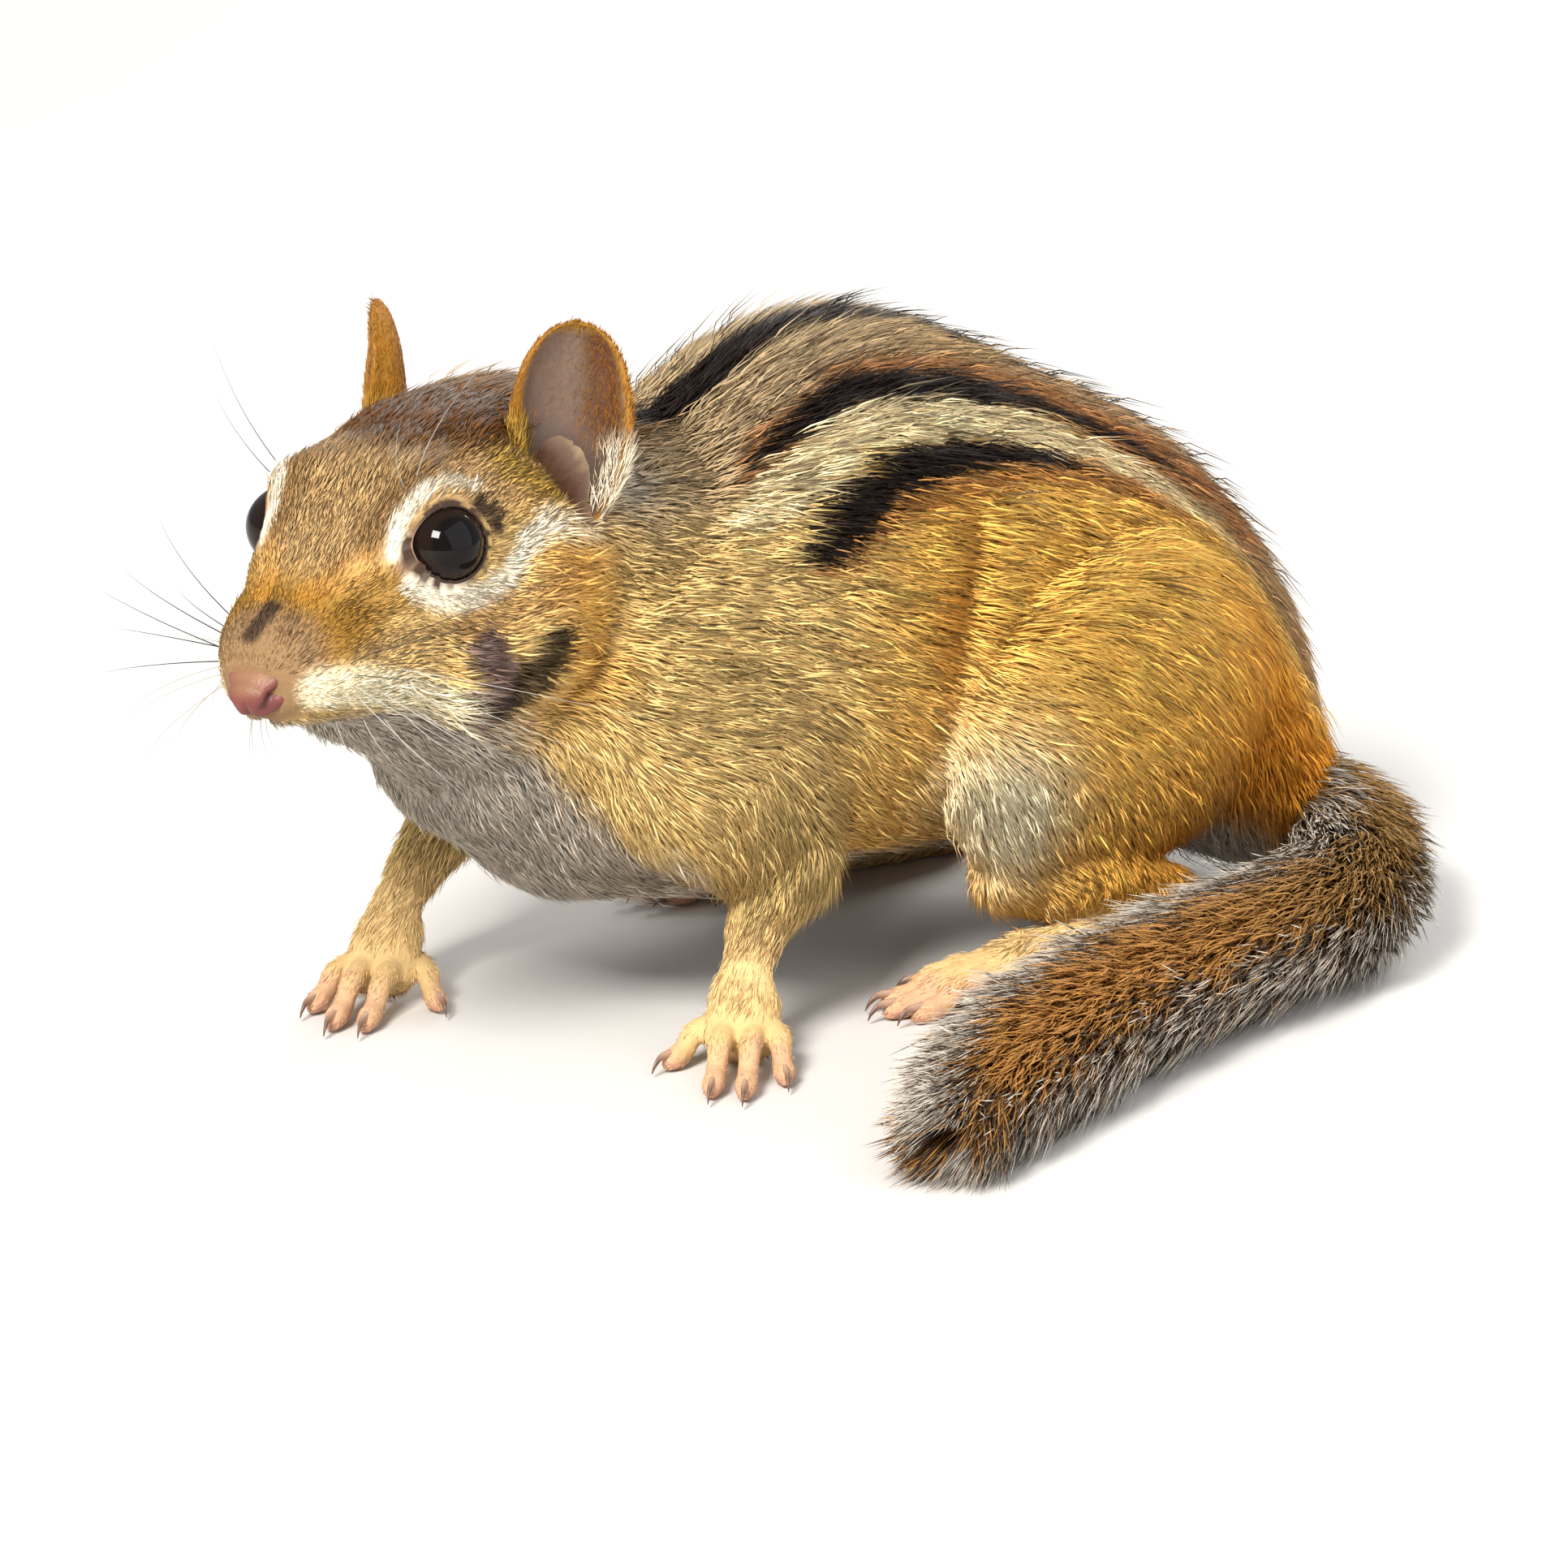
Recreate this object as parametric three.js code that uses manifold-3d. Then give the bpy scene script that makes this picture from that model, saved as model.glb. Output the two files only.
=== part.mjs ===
// A life-size eastern chipmunk, crouching on all fours with its head turned to its left.
// Millimetres, +Z up. The animal faces -X and its left side is -Y. It stands on the plane z = 0.
import * as THREE from 'three';
import { mergeVertices } from 'three/addons/utils/BufferGeometryUtils.js';
import Module from 'manifold-3d';

const wasm = await Module();
wasm.setup();

// Driving dimensions
const gap = 0.3; // clearance between touching parts
const eyeRadius = 4;
const eyeSpread = 8.6; // from the head's midline to each eye's centre
const lidOpening = 58; // degrees from the eye's axis to the lid's edge
const lidThickness = 0.6;
const headPitch = 12; // degrees, nose down
const headTurn = 24; // degrees, to the left
const headRoll = 4; // degrees, left eye up
const earLength = 15.8;
const earHalfWidth = 5.6;
const earThickness = 0.9;
const earRootDepth = 3.5; // how far the ear's foot is sunk in the head
const earWrap = { foot: 100, tip: 48 }; // degrees that each half of the ear is rolled round
const toeRadius = 1.4;
const clawRadius = 0.5;
const clawLength = 2.6;
const tailCoreShare = 0.48; // how much of the tail's coat depth its core fills
const lockWidth = 5.4;
const lockThickness = 0.9;

const point = (x, y, z) => new THREE.Vector3(x, y, z);
const radians = THREE.MathUtils.degToRad;
const worldUp = point(0, 0, 1);

// Solids

// Turns a geometry into a solid, with its faces turned outwards.
function solidOf(geometry) {
  geometry.deleteAttribute('normal');
  geometry.deleteAttribute('uv');
  const merged = mergeVertices(geometry, 1e-4);
  const triVerts = new Uint32Array(merged.index.array);
  const vertProperties = merged.attributes.position.array;
  const made = new wasm.Manifold(new wasm.Mesh({ numProp: 3, vertProperties, triVerts }));
  if (made.volume() > 0) return made;
  for (let i = 0; i < triVerts.length; i += 3) {
    [triVerts[i + 1], triVerts[i + 2]] = [triVerts[i + 2], triVerts[i + 1]];
  }
  return new wasm.Manifold(new wasm.Mesh({ numProp: 3, vertProperties, triVerts }));
}

// A closed surface over rings of points, shut at each end by a fan to a tip.
function skinOver(rings, firstTip, lastTip) {
  const around = rings[0].length;
  const positions = [];
  const faces = [];
  for (const ring of rings) for (const p of ring) positions.push(p.x, p.y, p.z);
  positions.push(firstTip.x, firstTip.y, firstTip.z, lastTip.x, lastTip.y, lastTip.z);
  const first = rings.length * around;
  const last = first + 1;
  for (let i = 0; i < around; i++) {
    const next = (i + 1) % around;
    for (let r = 0; r < rings.length - 1; r++) {
      const a = r * around + i;
      const b = r * around + next;
      faces.push(a, b, b + around, a, b + around, a + around);
    }
    const end = (rings.length - 1) * around;
    faces.push(first, next, i, last, end + i, end + next);
  }
  const geometry = new THREE.BufferGeometry();
  geometry.setAttribute('position', new THREE.Float32BufferAttribute(positions, 3));
  geometry.setIndex(faces);
  return solidOf(geometry);
}

// One oval section: wide to either side, up above and down below its centre. squareness 2 is an ellipse.
function oval(centre, side, up, size, around, squareness) {
  const ring = [];
  const power = 2 / squareness;
  for (let i = 0; i < around; i++) {
    const angle = (i / around) * 2 * Math.PI;
    const c = Math.cos(angle);
    const s = Math.sin(angle);
    const across = Math.sign(c) * Math.abs(c) ** power * size.x;
    const high = Math.sign(s) * Math.abs(s) ** power * (s > 0 ? size.y : size.z);
    ring.push(centre.clone().addScaledVector(side, across).addScaledVector(up, high));
  }
  return ring;
}

const smoothCurve = (points) => new THREE.CatmullRomCurve3(points, false, 'catmullrom', 0.5);

// A fleshy tube with rounded ends: ovals carried along a smooth path through its stations.
// A station has a place (at), a half width (wide) and half heights above (up) and below (down).
function fleshTube(stations, options, grow = 0) {
  const { around = 16, steps = 3, squareness = 2, level = worldUp } = options;
  const { startCap = 0.8, endCap = 0.8, capRings = 2 } = options;
  const path = smoothCurve(stations.map((s) => s.at));
  const sizes = smoothCurve(stations.map((s) => point(s.wide, s.up ?? s.wide, s.down ?? s.up ?? s.wide)));
  const count = steps * (stations.length - 1);
  const frameAt = (t) => {
    const along = path.getTangent(t);
    const side = along.clone().cross(level).normalize();
    const up = side.clone().cross(along).normalize();
    const size = sizes.getPoint(t).addScalar(grow);
    return { centre: path.getPoint(t), along, side, up, size };
  };
  const cap = (t, outward, share) => {
    const f = frameAt(t);
    const reach = Math.min(f.size.x, (f.size.y + f.size.z) / 2) * share + grow * (1 - share);
    const rings = [];
    for (let k = 1; k <= capRings; k++) {
      const turn = (k / (capRings + 1)) * (Math.PI / 2);
      const centre = f.centre.clone().addScaledVector(f.along, outward * reach * Math.sin(turn));
      const size = f.size.clone().multiplyScalar(Math.cos(turn));
      rings.push(oval(centre, f.side, f.up, size, around, squareness));
    }
    return { rings, tip: f.centre.clone().addScaledVector(f.along, outward * reach) };
  };
  const start = cap(0, -1, startCap);
  const end = cap(1, 1, endCap);
  const body = [];
  for (let k = 0; k <= count; k++) {
    const f = frameAt(k / count);
    body.push(oval(f.centre, f.side, f.up, f.size, around, squareness));
  }
  return skinOver([...start.rings.reverse(), ...body, ...end.rings], start.tip, end.tip);
}

// A solid, and the same solid grown by the clearance, which cuts its neighbours back.
const withClearance = (make) => ({ body: make(0), clear: make(gap) });
const tubePart = (stations, options = {}) => withClearance((grow) => fleshTube(stations, options, grow));

// The largest closed piece of a solid, cut clear of its neighbours and of the ground.
function carved(solid, neighbours = []) {
  const cut = neighbours.reduce((rest, n) => rest.subtract(n.clear), solid).trimByPlane([0, 0, 1], 0);
  return cut.decompose().reduce((a, b) => (a.volume() > b.volume() ? a : b));
}

// Trunk and neck

const trunkStations = [
  { at: point(-39, -5.5, 33.5), wide: 13, up: 13, down: 14.5 },
  { at: point(-28, -3.5, 33), wide: 18, up: 21, down: 21.5 },
  { at: point(-14, -1.5, 31), wide: 20.5, up: 27, down: 22 },
  { at: point(2, 0, 30), wide: 22, up: 33.5, down: 20.5 },
  { at: point(17, 0, 28), wide: 22, up: 30.5, down: 19 },
  { at: point(31, 0, 25.5), wide: 19.5, up: 24.7, down: 18 },
  { at: point(43, -0.5, 19.5), wide: 17.5, up: 17.4, down: 15.5 },
  { at: point(52.5, -3, 11.5), wide: 14.3, up: 8.6, down: 10.5 },
];
const trunk = tubePart(trunkStations, { around: 24, steps: 2, startCap: 0.5, endCap: 0.45 });

// Head, in its own axes: x ahead of the eyes, y to the left, z up, from the midpoint between the eyes.

const headOrigin = point(-50.7, -11.7, 52.1);
const headAxes = (() => {
  const turn = radians(headTurn);
  const pitch = radians(headPitch);
  const ahead = point(-Math.cos(turn) * Math.cos(pitch), -Math.sin(turn) * Math.cos(pitch), -Math.sin(pitch));
  const left = point(Math.sin(turn), -Math.cos(turn), 0).applyAxisAngle(ahead, radians(headRoll));
  const up = ahead.clone().cross(left);
  return { ahead, left, up };
})();

function inHead(x, y, z) {
  return headOrigin
    .clone()
    .addScaledVector(headAxes.ahead, x)
    .addScaledVector(headAxes.left, y)
    .addScaledVector(headAxes.up, z);
}

// Sections from the nose back to the nape: ahead of the eyes, height of the widest line, and half sizes.
const headSections = [
  { ahead: 20.0, mid: -5.8, wide: 3.4, up: 3.0, down: 2.9 },
  { ahead: 18.2, mid: -5.8, wide: 5.3, up: 4.6, down: 4.2 },
  { ahead: 15, mid: -5.6, wide: 7.2, up: 6.0, down: 5.6 },
  { ahead: 10, mid: -5.2, wide: 9.2, up: 7.7, down: 9.0 },
  { ahead: 4.5, mid: -5.0, wide: 11.3, up: 10.3, down: 12.8 },
  { ahead: -2, mid: -5.0, wide: 13.0, up: 13.0, down: 15.4 },
  { ahead: -9, mid: -6.0, wide: 14.4, up: 14.7, down: 16.2 },
  { ahead: -16, mid: -6.5, wide: 14.6, up: 14.4, down: 16.2 },
  { ahead: -23, mid: -6.0, wide: 12.5, up: 12.0, down: 14 },
];

// Soft swellings and hollows on both sides of the face: place, how far it pushes out, and its reach.
const faceForms = [
  { x: 13.5, y: 5.8, z: -7.6, push: 0.9, reach: 4.2 }, // whisker pad
  { x: -5, y: 12.5, z: -14, push: 1.8, reach: 8 }, // cheek
  { x: 0.8, y: 8.8, z: 5.2, push: 1.9, reach: 4.4 }, // brow
  { x: 9.5, y: 7.0, z: -0.5, push: -0.6, reach: 3.6 }, // hollow ahead of the eye
];

function headSolid(grow) {
  const around = 22;
  const squareness = 2.4;
  const steps = 2;
  const rings = [];
  const middles = smoothCurve(headSections.map((s) => point(s.ahead, 0, s.mid)));
  const sizes = smoothCurve(headSections.map((s) => point(s.wide, s.up, s.down)));
  const count = steps * (headSections.length - 1);
  const axisY = point(0, 1, 0);
  const axisZ = point(0, 0, 1);
  const napeRings = 2;
  const napeReach = 5;
  const formed = (p, middle) => {
    const out = point(0, p.y, p.z - middle.z).normalize();
    let push = grow;
    for (const f of faceForms) {
      for (const y of [f.y, -f.y]) {
        push += f.push * Math.exp(-point(f.x, y, f.z).distanceToSquared(p) / f.reach ** 2);
      }
    }
    return p.clone().addScaledVector(out, push);
  };
  for (let k = 0; k <= count + napeRings; k++) {
    const past = Math.max(0, k - count) / (napeRings + 1);
    const turn = past * (Math.PI / 2);
    const t = Math.min(1, k / count);
    const middle = middles.getPoint(t).add(point(-napeReach * Math.sin(turn), 0, 0));
    const size = sizes.getPoint(t).multiplyScalar(Math.cos(turn));
    rings.push(oval(middle, axisY, axisZ, size, around, squareness).map((p) => formed(p, middle)));
  }
  const front = headSections[0];
  const back = headSections.at(-1);
  const world = rings.map((ring) => ring.map((p) => inHead(p.x, p.y, p.z)));
  const noseTip = inHead(front.ahead + 0.7 + grow, 0, front.mid);
  return skinOver(world, noseTip, inHead(back.ahead - napeReach - grow, 0, back.mid));
}

// The throat hangs under the jaw and runs down into the chest.
const throatStations = [
  { at: inHead(3.5, 0, -9.5), wide: 9, up: 10.5, down: 9 },
  { at: inHead(-2, 0, -13.5), wide: 10.5, up: 10.5, down: 10.5 },
  { at: point(-38, -6.5, 35), wide: 12, up: 12, down: 12 },
];
const throat = tubePart(throatStations, { around: 12, steps: 2, level: point(-1, 0, 0) });
const skull = {
  body: headSolid(0).add(throat.body),
  clear: headSolid(gap).add(throat.clear),
};

const neckStations = [
  { at: inHead(-15, 0, -6), wide: 13, up: 12.5, down: 14.5 },
  { at: point(-31, -4, 47), wide: 15, up: 12.5, down: 15 },
  { at: point(-20, -2, 42.5), wide: 15, up: 14.5, down: 15 },
  { at: point(-8, -1, 38), wide: 13, up: 14, down: 13 },
];
const nape = tubePart(neckStations, { around: 22, steps: 2 });

// Eyes and lids

function eyeAxes(side) {
  const out = point(0.4, 0.86 * side, 0.3).normalize();
  const front = point(1, 0, 0).addScaledVector(out, -out.x).normalize();
  const up = out.clone().cross(front).multiplyScalar(side);
  return { centre: point(0.6, eyeSpread * side, 0.4), out, front, up };
}

function eyeball(side, grow) {
  const place = eyeAxes(side).centre;
  const ball = new THREE.SphereGeometry(eyeRadius + grow, 14, 8);
  const at = inHead(place.x, place.y, place.z);
  return solidOf(ball.applyMatrix4(new THREE.Matrix4().makeTranslation(at)));
}

// The lids are one ring on the eyeball, drawn out to a point at its front corner.
function lidRing(side, grow) {
  const eye = eyeAxes(side);
  const steps = 18;
  const around = 5;
  const cornerReach = 7; // degrees that the front corner runs further from the eye's axis
  const rings = [];
  for (let i = 0; i < steps; i++) {
    const turn = (i / steps) * 2 * Math.PI;
    const corner = Math.max(0, Math.cos(turn + 0.35)) ** 6;
    const open = radians(lidOpening + cornerReach * corner);
    const rim = eye.front.clone().multiplyScalar(Math.cos(turn)).addScaledVector(eye.up, Math.sin(turn));
    const outward = eye.out.clone().multiplyScalar(Math.cos(open)).addScaledVector(rim, Math.sin(open));
    const across = rim.clone().multiplyScalar(Math.cos(open)).addScaledVector(eye.out, -Math.sin(open));
    const middle = eye.centre.clone().addScaledVector(outward, eyeRadius + gap + lidThickness / 2);
    const ring = [];
    for (let j = 0; j < around; j++) {
      const angle = (j / around) * 2 * Math.PI;
      const p = middle
        .clone()
        .addScaledVector(outward, (lidThickness / 2 + grow) * Math.sin(angle))
        .addScaledVector(across, (lidThickness + grow) * Math.cos(angle));
      ring.push(inHead(p.x, p.y, p.z));
    }
    rings.push(ring);
  }
  const positions = rings.flat().flatMap((p) => p.toArray());
  const faces = [];
  for (let i = 0; i < steps; i++) {
    for (let j = 0; j < around; j++) {
      const a = i * around + j;
      const b = i * around + ((j + 1) % around);
      const c = ((i + 1) % steps) * around + j;
      const d = ((i + 1) % steps) * around + ((j + 1) % around);
      faces.push(a, c, b, b, c, d);
    }
  }
  const geometry = new THREE.BufferGeometry();
  geometry.setAttribute('position', new THREE.Float32BufferAttribute(positions, 3));
  geometry.setIndex(faces);
  return solidOf(geometry);
}

// Nose pad, with a nostril cut on each side, and the line of the mouth

const nosePadStations = [
  { at: inHead(17.2, 0, -6.0), wide: 2.9, up: 2.2, down: 2.0 },
  { at: inHead(19.4, 0, -6.0), wide: 3.1, up: 2.3, down: 2.3 },
  { at: inHead(20.7, 0, -6.3), wide: 2.2, up: 1.7, down: 1.7 },
];
const nosePad = tubePart(nosePadStations, { around: 12, steps: 1, level: headAxes.up });

function nostril(side) {
  const stations = [
    { at: inHead(18.6, 3.7 * side, -5.4), wide: 0.4, up: 0.4 },
    { at: inHead(20.1, 2.7 * side, -5.7), wide: 0.5, up: 0.5 },
    { at: inHead(21.4, 1.8 * side, -6.8), wide: 0.4, up: 0.4 },
  ];
  return fleshTube(stations, { around: 5, steps: 1, level: headAxes.up });
}

// The groove between the lips runs from under the nose back along the cheek on one side.
function lipGroove(side) {
  const stations = [
    { at: inHead(19.4, 0, -9.1), wide: 0.55, up: 0.45 },
    { at: inHead(17.0, 2.9 * side, -10.2), wide: 0.6, up: 0.5 },
    { at: inHead(13.5, 5.0 * side, -11.4), wide: 0.6, up: 0.5 },
    { at: inHead(9.5, 6.7 * side, -12.0), wide: 0.5, up: 0.5 },
  ];
  return fleshTube(stations, { around: 4, steps: 2, capRings: 1, level: headAxes.up });
}

// Ears: a cupped leaf, its hollow facing ahead and outwards

function earSolid(side, grow) {
  const base = point(-16.5, 9.5 * side, -2);
  const axis = point(-0.3, 0.12 * side, 0.95).normalize();
  const open = point(0.66, 0.75 * side, 0);
  open.addScaledVector(axis, -open.dot(axis)).normalize();
  const across = axis.clone().cross(open).normalize();
  const rows = 8;
  const columns = 7;
  const footShare = 0.5; // of the full half width, at the ear's foot
  const broadest = 0.5; // how far up the ear is broadest
  const sheet = (offset) => {
    const grid = [];
    for (let r = 0; r <= rows; r++) {
      const u = r / rows;
      const tip = Math.sqrt(Math.max(0, 1 - (Math.max(0, u - broadest) / (1 - broadest)) ** 2.2));
      const widening = footShare + (1 - footShare) * Math.sin((Math.min(1, u / broadest) * Math.PI) / 2);
      const half = earHalfWidth * widening * Math.max(tip, 0.1);
      const wrap = radians(THREE.MathUtils.lerp(earWrap.foot, earWrap.tip, Math.min(1, u * 1.3)));
      const radius = half / Math.sin(Math.min(wrap, Math.PI / 2));
      const row = [];
      for (let c = 0; c <= columns; c++) {
        const angle = ((c / columns) * 2 - 1) * wrap;
        const ring = radius + offset;
        row.push(
          base
            .clone()
            .addScaledVector(axis, (earLength + earRootDepth) * u - earRootDepth + (u === 1 ? offset : 0))
            .addScaledVector(across, ring * Math.sin(angle))
            .addScaledVector(open, radius * 0.75 - ring * Math.cos(angle)),
        );
      }
      grid.push(row);
    }
    return grid;
  };
  const outer = sheet(earThickness / 2 + grow);
  const inner = sheet(-earThickness / 2 - grow);
  const positions = [...outer.flat(), ...inner.flat()].flatMap((p) => inHead(p.x, p.y, p.z).toArray());
  const width = columns + 1;
  const second = (rows + 1) * width;
  const faces = [];
  const quad = (a, b, c, d) => faces.push(a, b, c, a, c, d);
  for (let r = 0; r < rows; r++) {
    for (let c = 0; c < columns; c++) {
      const a = r * width + c;
      quad(a, a + 1, a + width + 1, a + width);
      quad(second + a, second + a + width, second + a + width + 1, second + a + 1);
    }
    const left = r * width;
    const right = left + columns;
    quad(left, left + width, second + left + width, second + left);
    quad(right, second + right, second + right + width, right + width);
  }
  for (let c = 0; c < columns; c++) {
    const top = rows * width + c;
    quad(c, second + c, second + c + 1, c + 1);
    quad(top, top + 1, second + top + 1, second + top);
  }
  const geometry = new THREE.BufferGeometry();
  geometry.setAttribute('position', new THREE.Float32BufferAttribute(positions, 3));
  geometry.setIndex(faces);
  return solidOf(geometry);
}

// Paws. A paw's own axes: ahead along its heading, inner towards the animal's midline, and height.

function pawAxes(origin, heading, innerTurn) {
  const ahead = point(heading.x, heading.y, 0).normalize();
  const inner = point(-ahead.y * innerTurn, ahead.x * innerTurn, 0);
  return (a, i, z) => point(origin.x, origin.y, 0).addScaledVector(ahead, a).addScaledVector(inner, i).setZ(z);
}

// One toe arches from its root over the knuckle down to its pad, and ends in a curved claw.
function toe(place, root, tip, radius) {
  const mix = (t) => [root[0] + (tip[0] - root[0]) * t, root[1] + (tip[1] - root[1]) * t];
  const stations = [
    { at: place(...mix(0), root[2]), wide: radius * 1.05 },
    { at: place(...mix(0.45), root[2] * 0.55 + radius * 0.9), wide: radius },
    { at: place(...mix(0.8), radius * 0.85), wide: radius * 0.95, up: radius * 1.1 },
    { at: place(...mix(0.97), radius * 0.6), wide: radius * 0.85, up: radius * 0.95 },
  ];
  const reach = Math.hypot(tip[0] - root[0], tip[1] - root[1]);
  const beyond = (d) => mix(1 + d / reach);
  const claw = [
    { at: place(...beyond(-0.4), radius * 1.25), wide: clawRadius, up: clawRadius },
    { at: place(...beyond(clawLength * 0.5), radius * 1.2), wide: clawRadius * 0.75, up: clawRadius * 0.8 },
    { at: place(...beyond(clawLength), radius * 0.35), wide: clawRadius * 0.35, up: clawRadius * 0.35 },
  ];
  return [
    fleshTube(stations, { around: 6, steps: 1, capRings: 1 }),
    fleshTube(claw, { around: 4, steps: 1, capRings: 1 }),
  ];
}

function pawSolid(palm, place, toes, radius) {
  const pieces = [fleshTube(palm, { around: 9, steps: 2, capRings: 1 })];
  for (const t of toes) pieces.push(...toe(place, t.root, t.tip, radius));
  return wasm.Manifold.union(pieces);
}

// Forelimbs. The left paw reaches out towards the left, and the right one is set further forward.

const forelimbs = {
  left: {
    shoulder: point(-21, -13, 35),
    elbow: point(-11, -18.5, 17),
    wrist: point(-16.5, -21.5, 8),
    heading: point(-0.6, -0.8, 0),
    innerTurn: -1,
  },
  right: {
    shoulder: point(-24, 9.5, 35),
    elbow: point(-24, 14, 19),
    wrist: point(-34, 12.5, 8.5),
    heading: point(-0.75, -0.66, 0),
    innerTurn: 1,
  },
};

const foreToes = [
  { root: [2.6, 2.9, 3.0], tip: [7.8, 6.6] },
  { root: [5.8, 1.5, 3.4], tip: [15.8, 1.9] },
  { root: [5.9, -1.2, 3.4], tip: [16.2, -1.2] },
  { root: [4.6, -3.2, 3.0], tip: [11.6, -4.6] },
];

function forelimb({ shoulder, elbow, wrist, heading, innerTurn }) {
  const away = Math.sign(shoulder.y);
  const upperArm = tubePart(
    [
      { at: shoulder, wide: 8, up: 14 },
      { at: shoulder.clone().lerp(elbow, 0.5).add(point(0, away, 0)), wide: 7, up: 12.5 },
      { at: elbow, wide: 4.8, up: 7 },
    ],
    { around: 16, steps: 2, level: point(-1, 0, 0) },
  );
  const forearm = tubePart(
    [
      { at: elbow.clone().add(point(1, 0, 0)), wide: 4.7, up: 5.4 },
      { at: elbow.clone().lerp(wrist, 0.5), wide: 3.7, up: 3.9 },
      { at: wrist, wide: 2.7, up: 2.6 },
    ],
    { around: 10, steps: 2 },
  );
  const place = pawAxes(wrist, heading, innerTurn);
  const palm = [
    { at: wrist, wide: 2.7, up: 2.5 },
    { at: place(3, 0, 5.2), wide: 3.5, up: 2.2 },
    { at: place(6, 0, 3.0), wide: 3.7, up: 1.7, down: 3.3 },
  ];
  return { upperArm, forearm, paw: pawSolid(palm, place, foreToes, toeRadius) };
}

// Hind limbs, folded under the haunch with the whole foot on the ground

const hindToes = [
  { root: [21.5, 2.6, 2.8], tip: [27.5, 5.2] },
  { root: [24.0, 1.9, 3.0], tip: [32.5, 3.0] },
  { root: [24.5, 0.1, 3.1], tip: [34.0, 0.6] },
  { root: [24.0, -1.8, 3.0], tip: [32.6, -2.0] },
  { root: [20.0, -3.2, 2.8], tip: [27.0, -6.0] },
];

function hindlimb(side) {
  const put = (x, y, z) => point(x, y * side, z);
  const thigh = tubePart(
    [
      { at: put(37, 7, 25), wide: 13.5, up: 15, down: 16 },
      { at: put(28.5, 12.5, 25.5), wide: 14.5, up: 18, down: 19 },
      { at: put(19, 17, 24.5), wide: 12, up: 16.5, down: 18 },
      { at: put(11.5, 19.2, 21.5), wide: 7.8, up: 12, down: 13.5 },
    ],
    { around: 22, steps: 2, startCap: 0.5, endCap: 0.7 },
  );
  const shank = tubePart(
    [
      { at: put(15, 17.5, 13), wide: 4.6, up: 6 },
      { at: put(23, 19.5, 10), wide: 4.6, up: 5.5 },
      { at: put(31, 20.5, 6), wide: 3.4, up: 4 },
    ],
    { around: 10, steps: 2 },
  );
  const heading = put(-1, 0.05, 0);
  const place = pawAxes(put(33, 20.5, 0), heading, side > 0 ? 1 : -1);
  const sole = [
    { at: place(0, 0, 4.2), wide: 2.9, up: 3.0, down: 4.6 },
    { at: place(9, 0, 4.0), wide: 2.9, up: 2.6, down: 4.4 },
    { at: place(17, 0, 3.6), wide: 3.5, up: 2.4, down: 4.0 },
    { at: place(24.5, 0, 2.8), wide: 4.0, up: 1.9, down: 3.2 },
  ];
  return { thigh, shank, foot: pawSolid(sole, place, hindToes, toeRadius) };
}

// Tail. It leaves the rump, comes round the left haunch and lies on the ground towards the left.

const tailStations = [
  { at: point(49.5, -2, 11), skin: 5.0, coat: 2.4 },
  { at: point(53.5, -11.5, 8.4), skin: 4.1, coat: 3.8 },
  { at: point(50.5, -21.8, 7.3), skin: 3.4, coat: 4.8 },
  { at: point(43.5, -29.6, 6.9), skin: 2.9, coat: 5.6 },
  { at: point(34, -34.5, 6.7), skin: 2.6, coat: 6.2 },
  { at: point(23.5, -38.2, 6.4), skin: 2.4, coat: 6.6 },
  { at: point(13, -42.5, 6.1), skin: 2.1, coat: 7.0 },
  { at: point(3, -47.5, 5.8), skin: 1.8, coat: 7.2 },
  { at: point(-6.5, -53, 5.3), skin: 1.5, coat: 6.6 },
  { at: point(-15, -59, 4.6), skin: 1.1, coat: 4.6 },
];
const tailFlatness = 0.66; // the coat lies lower above and below than to either side
const tailPath = smoothCurve(tailStations.map((s) => s.at));
const tailSizes = smoothCurve(tailStations.map((s) => point(s.skin, s.coat, 0)));

const endingFrom = 0.84; // along the tail, where its core begins to taper
const endingTaper = 0.6;

function tailFrame(t) {
  const along = tailPath.getTangent(t);
  const side = along.clone().cross(worldUp).normalize();
  const up = side.clone().cross(along).normalize();
  const size = tailSizes.getPoint(t);
  const ending = Math.max(0, (t - endingFrom) / (1 - endingFrom));
  const core = size.x + size.y * tailCoreShare * (1 - endingTaper * ending ** 2);
  return { centre: tailPath.getPoint(t), along, side, up, reach: size.x + size.y, core };
}

function tailCore(from, to, grow) {
  const stations = [];
  const count = 6;
  for (let k = 0; k <= count; k++) {
    const f = tailFrame(from + ((to - from) * k) / count);
    stations.push({ at: f.centre, wide: f.core, up: f.core * (tailFlatness + 0.1) });
  }
  return fleshTube(stations, { around: 9, steps: 1, startCap: 0.3, endCap: 0.6 }, grow);
}

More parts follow.
